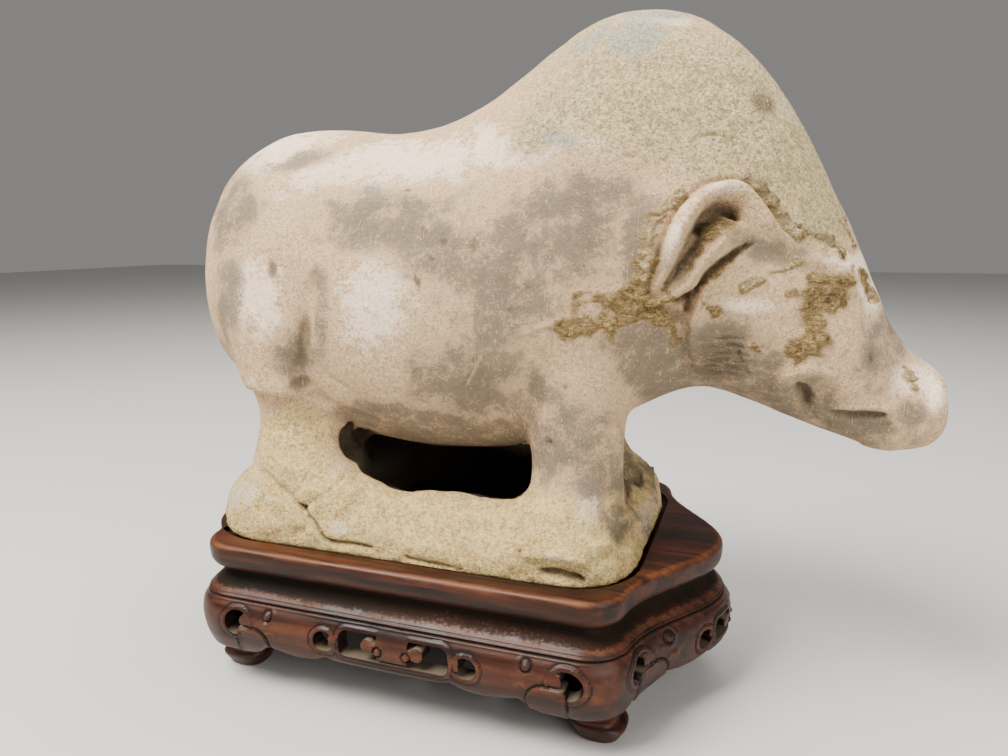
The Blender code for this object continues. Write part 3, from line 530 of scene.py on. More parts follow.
def pottery_material(pottery):
    """Unglazed clay: buff and pale areas, grey stain, olive hump, earth crust, pores and scratches."""
    graph = Graph("unglazed_pottery")
    broad = graph.noise(26 * MM, 3.0, 0.6)
    cloud = graph.noise(9 * MM, 9.0, 0.7)
    mottle = graph.noise(4 * MM, 6.0, 0.66)
    fine = graph.noise(1.2 * MM, 4.0, 0.7)
    grain = graph.noise(0.5 * MM, 3.0, 0.65)
    pale = graph.step(graph.total((graph.attribute("pale"), 0.35), (broad, 0.3), (cloud, 1.1), (fine, 0.25)),
                      0.93, 1.18)
    colour = graph.mix(pale, pottery.clay, pottery.pale)
    base = graph.step(graph.total((graph.attribute("base"), 0.8), (cloud, 0.9), (fine, 0.3)), 0.72, 1.25)
    base_tone = graph.step(graph.total((mottle, 0.6), (fine, 0.5)), 0.42, 0.68)
    base_clay = graph.mix(base_tone, shaded(pottery.base_clay, 0.72), shaded(pottery.base_clay, 1.12))
    colour = graph.mix(base, colour, base_clay)
    flakes = graph.step(graph.total((graph.attribute("pale"), 0.5), (cloud, 1.0), (fine, 0.25)), 0.98, 1.14)
    colour = graph.laid(colour, flakes, 0.8, pottery.pale)
    olive = graph.step(graph.total((graph.attribute("olive"), 0.8), (broad, 0.3), (cloud, 0.7)), 0.72, 1.12)
    olive_tone = graph.step(graph.total((mottle, 0.55), (fine, 0.5), (cloud, 0.3)), 0.54, 0.82)
    olive_clay = graph.mix(olive_tone, shaded(pottery.olive, 0.78), shaded(pottery.olive, 1.35))
    colour = graph.laid(colour, olive, 0.9, olive_clay)
    slate = graph.step(graph.total((graph.attribute("slate"), 0.6), (cloud, 0.5), (fine, 0.9)), 1.0, 1.22)
    colour = graph.laid(colour, slate, 0.7, pottery.slate)
    # Staining, and painted shade on surfaces that face down and under the ear and the jaw
    stain_and_shade_value = graph.total((graph.attribute("stain_and_shade"), 0.36), (broad, 0.3), (cloud, 1.25), (fine, 0.8),
                          (grain, 0.5))
    stain_and_shade = graph.step(stain_and_shade_value, 1.6, 1.8)
    colour = graph.laid(colour, stain_and_shade, 0.72, pottery.stain_and_shade)
    speck_value = graph.total((grain, 0.75), (fine, 0.45), (graph.attribute("stain_and_shade"), 0.22), (cloud, 0.3))
    colour = graph.laid(colour, graph.step(speck_value, 0.9, 1.02), 0.7, pottery.stain_and_shade)
    light_specks = graph.step(graph.noise(0.9 * MM, 2.0, 0.5), 0.63, 0.7)
    colour = graph.laid(colour, light_specks, 0.3, pottery.pale)
    # Brown patches: dirt, and painted shade in creases and pits
    brown = graph.step(graph.total((graph.attribute("brown"), 0.8), (cloud, 0.7), (fine, 0.5)), 0.98, 1.4)
    colour = graph.laid(colour, brown, 0.8, pottery.brown)
    scratch_lines = graph.noise(1.0, 1.0, 0.5, graph.stretched((0, 35, 0), (2600.0, 400.0, 90.0)))
    scratches = graph.math("MULTIPLY", graph.step(scratch_lines, 0.67, 0.73), graph.step(broad, 0.5, 0.62))
    colour = graph.laid(colour, scratches, 0.55, pottery.pale)
    crust_value = graph.total((graph.attribute("earth"), 1.0), (fine, 0.8), (grain, 0.5))
    crust = graph.step(crust_value, 1.02, 1.3)
    thick = graph.step(crust_value, 1.05, 1.75)
    crumbs = graph.noise(1.0, 4.0, 0.68, graph.stretched((0, 4, 0), (430.0, 430.0, 1450.0)), 0.35)
    light_earth = graph.mix(graph.step(cloud, 0.42, 0.62), pottery.earth, shaded(pottery.earth, 1.4))
    light_earth = graph.mix(graph.attribute("pale_earth"), light_earth, pottery.pale_earth)
    # The crumbs' bump gets painted shade in its low places and painted highlight on its tops
    crumb_shade = graph.mix(graph.attribute("pale_earth"), pottery.crumb_shade, pottery.earth)
    earth = graph.mix(graph.step(crumbs, 0.36, 0.58), crumb_shade, light_earth)
    earth = graph.mix(graph.step(crumbs, 0.58, 0.72), earth, pottery.crumb_highlight_earth)
    colour = graph.mix(crust, colour, earth)
    # Painted shade in the low places of the wrinkles' bump
    furrow_shade = graph.math("MULTIPLY", graph.attribute("ripple"), graph.step(crumbs, 0.5, 0.38))
    colour = graph.laid(colour, furrow_shade, 0.45, pottery.stain_and_shade)
    pore_cells = graph.node("ShaderNodeTexVoronoi", {"Vector": graph.place, "Scale": 1 / (2.4 * MM)})
    pores = graph.math("MULTIPLY", graph.step(pore_cells.outputs["Distance"], 0.16, 0.05),
                       graph.step(mottle, 0.5, 0.6))
    colour = graph.laid(colour, pores, 0.6, pottery.brown)
    # Painted shade: deep recesses, cracks, nostrils and the gap under the belly darkened with the crease
    # brown
    hollow = graph.step(graph.total((graph.attribute("hollow"), 1.0), (fine, 0.25)), 0.2, 1.1)
    colour = graph.laid(colour, hollow, 0.85, pottery.brown)
    # Painted shade: the gap under the belly painted near black
    gap = graph.step(graph.total((graph.attribute("gap"), 1.0), (fine, 0.3)), 0.45, 0.8)
    colour = graph.laid(colour, gap, 0.93, pottery.gap)
    tone = graph.step(graph.total((grain, 0.6), (fine, 0.5)), 0.32, 0.78)
    colour = graph.mix(0.6, colour, graph.node("ShaderNodeCombineColor", {
        "Red": tone, "Green": tone, "Blue": tone}).outputs["Color"], "OVERLAY")
    graph.put(graph.shader.inputs["Base Color"], colour)
    graph.put(graph.shader.inputs["Roughness"], graph.total((fine, 0.15), (crust, 0.08), (1.0, 0.74)))
    graph.shader.inputs["Specular IOR Level"].default_value = 0.25
    rough = graph.total((graph.attribute("base"), 0.9), (graph.attribute("olive"), 0.35), (0.35, 1.0))
    skin = graph.math("MULTIPLY", graph.total((mottle, 0.7), (fine, 0.6), (grain, 0.3)), rough)
    normal = graph.bump(skin, 2.1 * MM)
    rippled = graph.math("MAXIMUM", thick, graph.math("MULTIPLY", graph.attribute("ripple"), 0.7))
    normal = graph.bump(graph.math("MULTIPLY", crumbs, rippled), 1.9 * MM, normal)
    normal = graph.bump(graph.total((pores, -1.0), (scratches, 0.3), (light_specks, 0.2)), 0.35 * MM, normal)
    graph.put(graph.shader.inputs["Normal"], normal)
    return graph.material


def wood_material(stand, name, tone=1.0, inside=False):
    """Waxed dark hardwood: stretched grain, orange rubbing and painted highlights, painted shade in the
    grooves, dusty hollows.
    """
    graph = Graph(name)
    grain = graph.noise(1.0, 5.0, 0.6, graph.stretched((0, 4, 3), (28.0, 420.0, 330.0)), 0.35)
    veins = graph.noise(1.0, 3.0, 0.55, graph.stretched((0, 3, 2), (9.0, 120.0, 90.0)), 0.6)
    smudge = graph.noise(14 * MM, 3.0, 0.6)
    fine = graph.noise(0.9 * MM, 3.0, 0.7)
    wear_light_and_shade = graph.attribute("wear_light_and_shade")
    red = shaded(stand.red_wood, tone)
    colour = graph.mix(graph.step(graph.total((grain, 0.6), (veins, 0.6)), 0.44, 0.8), stand.dark_wood, red)
    # Rubbing, and painted highlight and reflection on edges, bulges and the cove's lower part
    rubbed_and_lit = graph.step(graph.total((wear_light_and_shade, 0.85), (smudge, 0.7), (grain, 0.55)), 0.85, 1.55)
    colour = graph.mix(rubbed_and_lit, colour, shaded(stand.rubbed_and_lit_wood, tone))
    # Painted shade: where the value is below zero, in carved grooves and under the board, the wood turns near
    # black
    colour = graph.mix(graph.step(graph.total((wear_light_and_shade, -1.0), (fine, 0.3)), 0.15, 0.6), colour, stand.dark_wood)
    # Dust, and painted shade where the colour is near black under the board and in the grooves
    dust_and_shade_edge = graph.total((graph.attribute("dust_and_shade"), 0.8), (fine, 0.9), (smudge, 0.7))
    dust_and_shade = graph.step(dust_and_shade_edge, 1.12, 1.5)
    colour = graph.laid(colour, dust_and_shade, 0.8, stand.dust_and_shade)
    # Painted shade: the openings' walls are near black, with pale dust on sills that face up, which also
    # stands in for the light they catch
    if inside:
        facing_up = graph.node("ShaderNodeSeparateXYZ", {
            "Vector": graph.node("ShaderNodeNewGeometry").outputs["Normal"]}).outputs["Z"]
        dusty_lit_sill = graph.step(graph.total((facing_up, 1.0), (fine, 0.5), (smudge, 0.4)), 0.95, 1.35)
        colour = graph.mix(graph.math("MULTIPLY", dusty_lit_sill, 0.7), stand.dark_wood, stand.pale_dust)
        dust_and_shade = graph.math("MAXIMUM", dust_and_shade, dusty_lit_sill)
    graph.put(graph.shader.inputs["Base Color"], colour)
    roughness = graph.total((dust_and_shade, 0.45), (grain, 0.25), (smudge, 0.5), (1.0, 0.05))
    graph.put(graph.shader.inputs["Roughness"], roughness)
    graph.shader.inputs["Coat Weight"].default_value = 0.03
    graph.shader.inputs["Coat Roughness"].default_value = 0.3
    graph.put(graph.shader.inputs["Specular IOR Level"], graph.total((dust_and_shade, -0.18), (1.0, 0.24)))
    normal = graph.bump(graph.total((grain, 1.0), (fine, 0.3)), 0.16 * MM)
    graph.put(graph.shader.inputs["Normal"], normal)
    return graph.material


def hidden_wood_shade():
    """Painted shade: near black raw wood behind the apron, where light hardly reaches."""
    graph = Graph("hidden_wood_shade")
    shade = graph.step(graph.noise(6 * MM, 3.0), 0.3, 0.7)
    dark, light = (0.004, 0.002, 0.0015), (0.012, 0.007, 0.005)
    graph.put(graph.shader.inputs["Base Color"], graph.mix(shade, dark, light))
    graph.shader.inputs["Roughness"].default_value = 0.95
    graph.shader.inputs["Specular IOR Level"].default_value = 0.1
    return graph.material


def new_object(name, mesh, materials):
    """An object of the figure that rides on the only body and takes a slot's finish."""
    made = bpy.data.objects.new(name, mesh)
    bpy.context.scene.collection.objects.link(made)
    for material in materials:
        mesh.materials.append(material)
    mesh.shade_smooth()
    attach(made, "root")
    return made


def store(mesh, name, values):
    """Keeps one value for each point of the mesh."""
    layer = mesh.attributes.new(name, "FLOAT", "POINT")
    layer.data.foreach_set("value", np.asarray(values, dtype=np.float32))


def point_array(mesh, source="co"):
    """Places or normals of a mesh's points as rows."""
    values = np.empty(len(mesh.vertices) * 3)
    if source == "co":
        mesh.vertices.foreach_get("co", values)
    else:
        mesh.vertex_normals.foreach_get("vector", values)
    return values.reshape(-1, 3)


def edge_array(mesh):
    """Point numbers of a mesh's edges as rows."""
    values = np.empty(len(mesh.edges) * 2, dtype=np.int32)
    mesh.edges.foreach_get("vertices", values)
    return values.reshape(-1, 2)


def relax(values, edges, share, steps):
    """Moves each row by a share of the way to the mean of the rows at the far ends of its edges."""
    first, second = edges.T
    count = np.bincount(edges.ravel(), minlength=len(values))
    for _ in range(steps):
        mean = np.empty_like(values)
        for axis in range(values.shape[1]):
            mean[:, axis] = (np.bincount(first, values[second, axis], len(values))
                             + np.bincount(second, values[first, axis], len(values))) / count
        values = values + share[:, None] * (mean - values)
    return values


def refined(mesh, chosen):
    """Splits every edge between two chosen points, so that their faces become four."""
    shell = bmesh.new()
    shell.from_mesh(mesh)
    inside = chosen[edge_array(mesh)].all(axis=1)
    shell.edges.ensure_lookup_table()
    edges = [shell.edges[row] for row in np.where(inside)[0]]
    bmesh.ops.subdivide_edges(shell, edges=edges, cuts=1, use_grid_fill=True)
    shell.to_mesh(mesh)
    shell.free()


def skin_of_figure(pottery):
    """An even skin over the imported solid: a merged copy of it, remeshed to cells of one size."""
    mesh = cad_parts["pottery_pig"].data.copy()
    mesh.materials.clear()
    shell = bmesh.new()
    shell.from_mesh(mesh)
    bmesh.ops.remove_doubles(shell, verts=shell.verts, dist=0.01 * MM)
    shell.to_mesh(mesh)
    shell.free()
    draft = bpy.data.objects.new("draft", mesh)
    bpy.context.scene.collection.objects.link(draft)
    remesh = draft.modifiers.new("Skin", "REMESH")
    remesh.mode = "VOXEL"
    remesh.voxel_size = pottery.voxel
    bpy.context.view_layer.update()
    skin = bpy.data.meshes.new_from_object(draft.evaluated_get(bpy.context.evaluated_depsgraph_get()))
    bpy.data.objects.remove(draft)
    return skin


def ear_area(points, pixels):
    """1 on the side of the head where the ear is carved, 0 away from it."""
    flank = np.abs(points[:, 1]) > 18 * MM
    return smooth_step(blot(pixels, [EAR_AREA]), 0.0, 0.35) * flank


def soften(skin, pottery):
    """Rounds the facets off. The underside keeps its place, and the area of the ear is flattened most.

    The smoothed part of what the smoothing takes away is put back, so that the figure doesn't shrink.
    """
    points = point_array(skin)
    pixels = in_photograph(points)
    edges = edge_array(skin)
    on_base = 1 - smooth_step(points[:, 2], BASE_BOTTOM + 1.0 * MM, BASE_BOTTOM + 4.0 * MM)
    share = 0.5 * (1 - on_base)
    share *= 1 - 0.9 * smooth_step(blot(pixels, [GAP_CORNER]), 0.0, 0.4)
    smooth = relax(points, edges, share, pottery.soften_steps)
    lost = relax(points - smooth, edges, share, pottery.soften_steps)
    moved = smooth + lost * (1 - on_base)[:, None]
    moved = relax(moved, edges, share * ear_area(points, pixels), EAR_SOFTEN_STEPS)
    moved[:, 2] = np.maximum(moved[:, 2], BASE_BOTTOM)
    skin.vertices.foreach_set("co", moved.ravel())
    skin.update()


def fine_parts(pixels, widest, margin):
    """Which points lie near a narrow line or an edge of the figure, or in its crust of earth."""
    near = (cover(pixels, EARTH) > -0.1) | (blot(pixels, [WRINKLES]) > 0)
    for path, width, _ in LINES.values():
        if width <= widest:
            near |= stroke(pixels, path, width + margin) > 0.35
    for path, _ in EDGES.values():
        near |= np.abs(across(pixels, path, 12)[0]) < 9
    return near


def tail_ridge(points):
    """1 along the tail's course on the rump, 0 away from it."""
    behind = np.column_stack([points[:, 1], BASE_BOTTOM - points[:, 2]]) / MM
    return stroke(behind, TAIL, TAIL_HALF_WIDTH) * (points[:, 0] < LEGS_MIDDLE_X - 80 * MM)


def settle(skin, steps):
    """Evens the points of a skin without moving its underside."""
    points = point_array(skin)
    share = np.where(points[:, 2] > BASE_BOTTOM + 1.0 * MM, 0.4, 0.0)
    skin.vertices.foreach_set("co", relax(points, edge_array(skin), share, steps).ravel())
    skin.update()


def refine(skin):
    """Finer cells on the near side, the far ear and the tail, and finer still along the near lines."""
    for pass_number in range(2):
        points = point_array(skin)
        pixels = in_photograph(points)
        near = points[:, 1] < -1 * MM
        if pass_number == 0:
            chosen = near | (ear_area(points, pixels) > 0) | (tail_ridge(points) > 0.01)
        else:
            chosen = near & fine_parts(pixels, widest=5.0, margin=1.5)
        refined(skin, chosen)
        settle(skin, 2)


def carve(skin, pottery):
    """Moves the points along smoothed normals by the sum of all height fields, and stores the colours."""
    points = point_array(skin)
    edges = edge_array(skin)
    normals = relax(point_array(skin, "normal"), edges, np.full(len(points), 0.5), 6)
    normals /= np.linalg.norm(normals, axis=1)[:, None]
    pixels = in_photograph(points)
    facing = smooth_step(normals[:, 1] * np.sign(points[:, 1]), -0.25, 0.15)
    away = np.minimum(smooth_step(np.abs(points[:, 1]), 2 * MM, 8 * MM), facing)
    wobble = np.column_stack([lattice_noise(points, 9 * MM, 5), lattice_noise(points, 9 * MM, 6)]) * 2.0
    wobble += np.column_stack([lattice_noise(points, 3 * MM, 7), lattice_noise(points, 3 * MM, 8)]) * 0.8
    loose = pixels + 1.5 * wobble
    tight = pixels + 0.4 * wobble
    squeezed = points * (1, 1, 1.8)
    crumbs = 0.55 * lattice_noise(squeezed, 3.2 * MM, 10) + 0.45 * lattice_noise(squeezed, 1.5 * MM, 11)

    height = pottery.swell * (lattice_noise(points, 15 * MM, 1) + 0.45 * lattice_noise(points, 6 * MM, 2))
    on_base = 1 - smooth_step(points[:, 2], BASE_BOTTOM + 17 * MM, BASE_BOTTOM + 33 * MM)
    along = (points[:, 0] - LEGS_MIDDLE_X) / MM
    under_belly = smooth_step(along, -82, -66) * smooth_step(-along, -40, -30)
    on_base = np.maximum(on_base, 0.85 * smooth_step(blot(loose, ROUGH_LEG), 0.0, 0.5) * away)
    inward = smooth_step(-normals[:, 1] * np.sign(points[:, 1]), 0.1, 0.4)
    # Painted shade: the inner sides of the gap under the belly, marked to be painted near black
    inside = smooth_step(34 * MM + 6 * MM * inward - np.abs(points[:, 1]), 0, 6 * MM) * under_belly
    inside *= smooth_step(BASE_BOTTOM + 36 * MM - points[:, 2], 0, 8 * MM)
    lumps = (lattice_noise(points, 11 * MM, 3) + 0.7 * lattice_noise(points, 5 * MM, 4)
             + 0.45 * lattice_noise(points, 2.4 * MM, 12))
    height += pottery.rough_base * on_base * lumps

    height += TAIL_HEIGHT * MM * tail_ridge(points)
    gap_end = np.zeros(len(points))
    for path, width in GAP_END:
        gap_end = np.maximum(gap_end, stroke(pixels + 0.3 * wobble, path, width) * away)
    height -= GAP_END_DEPTH * MM * gap_end
    hollow = np.zeros(len(points))
    for path, width, rise in LINES.values():
        line = stroke(tight, path, width) * away
        height += rise * MM * line
        # Deep carved lines and thin cracks are also marked for painted shade
        if rise < -1.75 or (rise < 0 and width < 2.6):
            hollow = np.maximum(hollow, line * min(1.0, -rise / 2.6))
    for path, profile in EDGES.values():
        height += MM * edge_across(tight, path, profile) * away
    within = smooth_step(blot(loose, [WRINKLES]), 0.0, 0.6) * away
    phase = pixels[:, 1] - 0.16 * pixels[:, 0] + 1.6 * np.sin(pixels[:, 0] / 9.5)
    phase += 1.4 * lattice_noise(points, 5 * MM, 9)
    waves = np.sin(2 * math.pi * phase / WRINKLE_SPACING) * (0.7 + 0.5 * lattice_noise(points, 5 * MM, 13))
    height += WRINKLE_HEIGHT * MM * within * waves

    earth = cover(loose, EARTH) + 0.9 * crumbs + 0.85 * lattice_noise(points, 6 * MM, 14)
    crust = smooth_step(earth, -0.25, 0.9) * away
    height += pottery.crust * crust * (0.5 + 1.2 * crumbs)

    for (place, out, up), width, depth in NOSTRILS:
        centre = np.array([LEGS_MIDDLE_X + place * MM, 0.0, BASE_BOTTOM + up * MM])
        offset = np.column_stack([points[:, 0], np.abs(points[:, 1]) - out * MM, points[:, 2]]) - centre
        pit = np.exp(-((offset[:, 1]**2 + offset[:, 2]**2) / (width * MM)**2)) * (normals[:, 0] > 0.3)
        pit *= np.abs(offset[:, 0]) < 9 * MM
        height -= depth * MM * pit
        hollow = np.maximum(hollow, pit)

    sole = smooth_step(points[:, 2], BASE_BOTTOM + 0.4 * MM, BASE_BOTTOM + 2.5 * MM)
    moved = points + normals * (height * sole)[:, None]
    moved[:, 2] = np.maximum(moved[:, 2], BASE_BOTTOM)
    skin.vertices.foreach_set("co", moved.ravel())
    skin.update()
    store(skin, "earth", np.clip(0.42 + 0.5 * earth, 0, 1) * away)
    store(skin, "pale_earth", np.clip(1.2 * cover(loose, PALE_EARTH), 0, 1))
    # Painted shade: surfaces that face down get more of the grey staining colour
    downward_shade = smooth_step(-normals[:, 2], 0.15, 0.9)
    for name, ovals in PATCHES.items():
        value = 0.4 + 0.9 * blot(loose, ovals)
        if name == "stain_and_shade":
            value += 0.1 + 0.55 * downward_shade
        store(skin, name, np.clip(value, 0, 1))
    store(skin, "base", on_base)
    store(skin, "ripple", within)
    # Painted shade: near black inside the gap under the belly and at its carved end
    store(skin, "gap", np.clip(np.maximum(1.3 * gap_end, inside), 0, 1))
    # Painted shade in deep recesses, in the nostrils and inside the gap under the belly
    store(skin, "hollow", np.clip(np.maximum(hollow, 0.9 * inside), 0, 1))


class FIGURE_OT_pig(bpy.types.Operator):
    """Adds the pottery pig with its own clay base"""

    bl_idname = "figure.add_pig"
    bl_label = "Add pottery pig"

    def execute(self, context):
        pottery, _, _ = settings()
        skin = skin_of_figure(pottery)
        soften(skin, pottery)
        refine(skin)
        carve(skin, pottery)
        skin.name = "pottery_pig_skin"
        made = new_object("pottery_pig_figure", skin, [pottery_material(pottery)])
        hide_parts("pottery_pig")
        return {"FINISHED"}


# Plan of the stand
BOARD_HALF_WIDTH = 59.0 * MM
CORNER_RADIUS = 13 * MM
LOBE_DEPTH = 23 * MM
LOBE_HALF_SPAN = 50 * MM
APRON_BULGE = 3.6 * MM
SHOULDER = (STAND_HIGH[0] - STAND_LOW[0]) / 2 - LOBE_DEPTH - APRON_BULGE
RECESS_DEPTH = 2 * MM
RECESS_PLAY = 1 * MM
BASE_REAR_X = LEGS_MIDDLE_X - 80 * MM
BASE_FRONT_X = LEGS_MIDDLE_X + 74.7 * MM
BASE_HALF_WIDTH = 50.5 * MM
BASE_REAR_RADIUS = 28 * MM
BASE_FRONT_RADIUS = 21 * MM


def stand_outline(spacing):
    """The board's plan, anticlockwise: points about one spacing apart, places along it, normals, length.

    Long sides are straight, corners are quarter circles, and each end is a shoulder plus a lobe of
    depth * (1 + cos(pi * y / half span)) / 2. Places count from the middle of the -Y side.
    """
    straight = BOARD_HALF_WIDTH - CORNER_RADIUS
    across = np.linspace(-straight, straight, 801)
    lobe = 0.5 + 0.5 * np.cos(math.pi * np.clip(np.abs(across) / LOBE_HALF_SPAN, 0, 1))
    end = np.column_stack([SHOULDER + LOBE_DEPTH * lobe, across])
    angles = np.linspace(0, math.pi / 2, 80)[1:]
    corner = np.column_stack([SHOULDER - CORNER_RADIUS * (1 - np.cos(angles)),
                              straight + CORNER_RADIUS * np.sin(angles)])
    start = np.column_stack([np.zeros(400), np.full(400, -BOARD_HALF_WIDTH)])
    start[:, 0] = np.linspace(0, SHOULDER - CORNER_RADIUS, 401)[:-1]
    quarter = np.vstack([start, (corner * (1, -1))[::-1], end[:401]])
    half = np.vstack([quarter, (quarter[:-1] * (1, -1))[::-1]])
    whole = np.vstack([half, (half[1:-1] * (-1, 1))[::-1]])
    steps = np.linalg.norm(np.roll(whole, -1, axis=0) - whole, axis=1)
    places = np.concatenate([[0], np.cumsum(steps)])
    count = 4 * round(places[-1] / spacing / 4)
    wanted = np.arange(count) / count * places[-1]
    closed = np.vstack([whole, whole[:1]])
    outline = np.column_stack([np.interp(wanted, places, closed[:, axis]) for axis in (0, 1)])
    along = np.roll(outline, -2, axis=0) - np.roll(outline, 2, axis=0)
    normals = np.column_stack([along[:, 1], -along[:, 0]])
    normals /= np.linalg.norm(normals, axis=1)[:, None]
    return outline + (STAND_MIDDLE_X, 0), wanted, normals, places[-1]


def recess_outline(directions):
    """Points on the edge of the recess in the directions of other points, seen from the stand's middle."""
    low, high = BASE_REAR_X - RECESS_PLAY, BASE_FRONT_X + RECESS_PLAY
    half = BASE_HALF_WIDTH + RECESS_PLAY
    points = []
    for side_x, side_y, first in ((1, 1, 0), (-1, 1, 1), (-1, -1, 2), (1, -1, 3)):
        radius = (BASE_FRONT_RADIUS if side_x > 0 else BASE_REAR_RADIUS) + RECESS_PLAY
        centre = np.array([(high - radius) if side_x > 0 else (low + radius), side_y * (half - radius)])
        angles = (first + np.linspace(0, 1, 30)) * math.pi / 2
        points.append(centre + radius * np.column_stack([np.cos(angles), np.sin(angles)]))
    edge = np.vstack(points)
    closed = np.vstack([edge, edge[:1]])
    steps = np.linspace(0, 1, 40, endpoint=False)[:, None, None]
    dense = ((1 - steps) * closed[:-1] + steps * closed[1:]).reshape(-1, 2) - (STAND_MIDDLE_X, 0)
    turns = np.arctan2(dense[:, 1], dense[:, 0])
    order = np.argsort(turns)
    wanted = directions - (STAND_MIDDLE_X, 0)
    wanted_turns = np.arctan2(wanted[:, 1], wanted[:, 0])
    reach = np.interp(wanted_turns, turns[order], np.hypot(*dense[order].T), period=2 * math.pi)
    return np.column_stack([STAND_MIDDLE_X + reach * np.cos(wanted_turns), reach * np.sin(wanted_turns)])


def ring_mesh(name, rings, poles=(None, None)):
    """A surface through closed rings of as many points, (rings, points, 3), with its ends drawn to poles."""
    rows, count, _ = rings.shape
    index = np.arange(rows * count).reshape(rows, count)
    after = np.roll(index, -1, axis=1)
    quads = np.stack([index[:-1], after[:-1], after[1:], index[1:]], axis=-1).reshape(-1, 4)
    points = [rings.reshape(-1, 3)]
    faces = quads.tolist()
    for row, pole, flip in ((0, poles[0], True), (rows - 1, poles[1], False)):
        if pole is None:
            continue
        tip = sum(len(block) for block in points)
        points.append(np.array([pole]))
        fan = np.column_stack([index[row], after[row], np.full(count, tip)])
        faces += (fan[:, ::-1] if flip else fan).tolist()
    mesh = bpy.data.meshes.new(name)
    mesh.from_pydata(np.vstack(points).tolist(), [], faces)
    return mesh


def rows_through(profile, steps):
    """Rows on the Catmull-Rom curve through a profile's rows, that many steps between two of them."""
    rows = np.asarray(profile, dtype=float)
    padded = np.vstack([2 * rows[0] - rows[1], rows, 2 * rows[-1] - rows[-2]])
    share = np.arange(steps)[:, None] / steps
    made = [0.5 * (2 * b + (c - a) * share + (2 * a - 5 * b + 4 * c - d) * share**2
                   + (3 * b - a - 3 * c + d) * share**3)
            for a, b, c, d in zip(padded, padded[1:], padded[2:], padded[3:])]
    return np.vstack(made + [rows[-1:]])


# The board's edge and the cove below it, from the top down: depth below the board's top and offset from
# the outline in mm, dust with painted shade, and wear that also paints the top edge's highlight and the
# cove's amber reflection and, below zero, the shadow under the board
BOARD_EDGE = [
    (0.0, -2.2, 0.0, 0.5), (0.15, -1.4, 0.0, 0.9), (0.5, -0.7, 0.0, 1.0), (1.1, -0.2, 0.0, 0.8),
    (2.0, 0.0, 0.0, 0.45), (3.6, 0.0, 0.0, 0.3), (5.2, -0.15, 0.0, 0.25), (6.6, -0.55, 0.0, 0.15),
    (7.8, -1.35, 0.1, 0.0), (8.6, -2.5, 0.3, 0.0), (9.0, -3.8, 1.0, -0.6), (9.2, -5.2, 1.1, -0.8),
    (9.8, -5.7, 1.1, -0.8), (11.2, -5.5, 1.0, -0.5), (12.4, -4.6, 0.95, -0.2), (13.4, -3.3, 0.9, 0.1),
    (14.3, -2.0, 0.8, 0.5), (15.2, -0.9, 0.5, 0.9), (15.9, 0.0, 0.3, 0.7), (16.3, 0.15, 0.3, 0.3),
    (16.8, -0.6, 0.5, 0.0),
]


# How much of the stated wear, painted highlight and painted shade the board shows
BOARD_WEAR_AND_LIGHT = 0.6


class STAND_OT_board(bpy.types.Operator):
    """Adds the board with its recess and rounded edge, and the waist below it"""

    bl_idname = "figure.add_board"
    bl_label = "Add board and waist"

    def execute(self, context):
        _, stand, _ = settings()
        outline, places, normals, _ = stand_outline(1.0 * MM)
        recess = recess_outline(outline)
        under = STAND_TOP - stand.board_thickness
        bead = under - stand.waist_height
        centre = np.array([STAND_MIDDLE_X, 0.0])
        rows = []

        def add(plan, height, dust_and_shade, wear_highlight_shade):
            rows.append((np.column_stack([plan, np.full(len(plan), height)]), dust_and_shade, wear_highlight_shade))

        floor = STAND_TOP - RECESS_DEPTH
        for share in (0.15, 0.35, 0.55, 0.72, 0.86, 0.95, 1.0):
            add(centre + (recess - centre) * share, floor, 0.5, 0.0)
        add(recess, STAND_TOP - 0.3 * MM, 0.4, 0.2)
        inner = outline + normals * BOARD_EDGE[0][1] * MM
        for share in (0.012, 0.04, 0.15, 0.4, 0.7, 0.95):
            add(recess + (inner - recess) * share, STAND_TOP, 0.1, 0.35)
        for depth, offset, dust_and_shade, wear_highlight_shade in rows_through(BOARD_EDGE, 3):
            add(outline + normals * offset * MM, STAND_TOP - depth * MM, dust_and_shade, wear_highlight_shade)
        behind = ((-4.0, bead - 0.8 * MM), (-7.0, bead), (-7.5, under - 1.0 * MM), (-9.0, under))
        for offset, height in behind:
            add(outline + normals * offset * MM, height, 0.5, 0.0)
        for share in (0.7, 0.4, 0.15):
            add(centre + (outline + normals * -9.0 * MM - centre) * share, under, 0.5, 0.0)
        rings = np.array([row[0] for row in rows])
        mesh = ring_mesh("board", rings, ((*centre, floor), (*centre, under)))
        count = len(outline)
        for column, name in ((1, "dust_and_shade"), (2, "wear_light_and_shade")):
            values = np.repeat([row[column] for row in rows], count)
            values *= BOARD_WEAR_AND_LIGHT if name == "wear_light_and_shade" else 1.0
            store(mesh, name, np.concatenate([values, [0.5, 0.5]]))
        made = new_object("stand_board", mesh, [wood_material(stand, "board_wood", 1.1)])
        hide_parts("wooden_stand")
        return {"FINISHED"}


def disc(a, z, middle, level, radius):
    """Distance outside a circle, negative inside it."""
    return np.hypot(a - middle, z - level) - radius


def slot_shape(a, z, low, high, bottom, top, radius):
    """Distance outside a rectangle with round corners, negative inside it."""
    across = np.abs(a - (low + high) / 2) - (high - low) / 2 + radius
    upward = np.abs(z - (bottom + top) / 2) - (top - bottom) / 2 + radius
    outside = np.hypot(np.maximum(across, 0), np.maximum(upward, 0))
    return outside + np.minimum(np.maximum(across, upward), 0) - radius


def arc_line(a, z, middle, level, radius, start, end, width):
    """A soft curved line along part of a circle, from start to end in degrees anticlockwise."""
    turn = (np.degrees(np.arctan2(z - level, a - middle)) - start) % 360
    ends = smooth_step(turn, 0, 25) * smooth_step(end - start - turn, 0, 25)
    return ends * np.exp(-((np.hypot(a - middle, z - level) - radius) / width)**2)


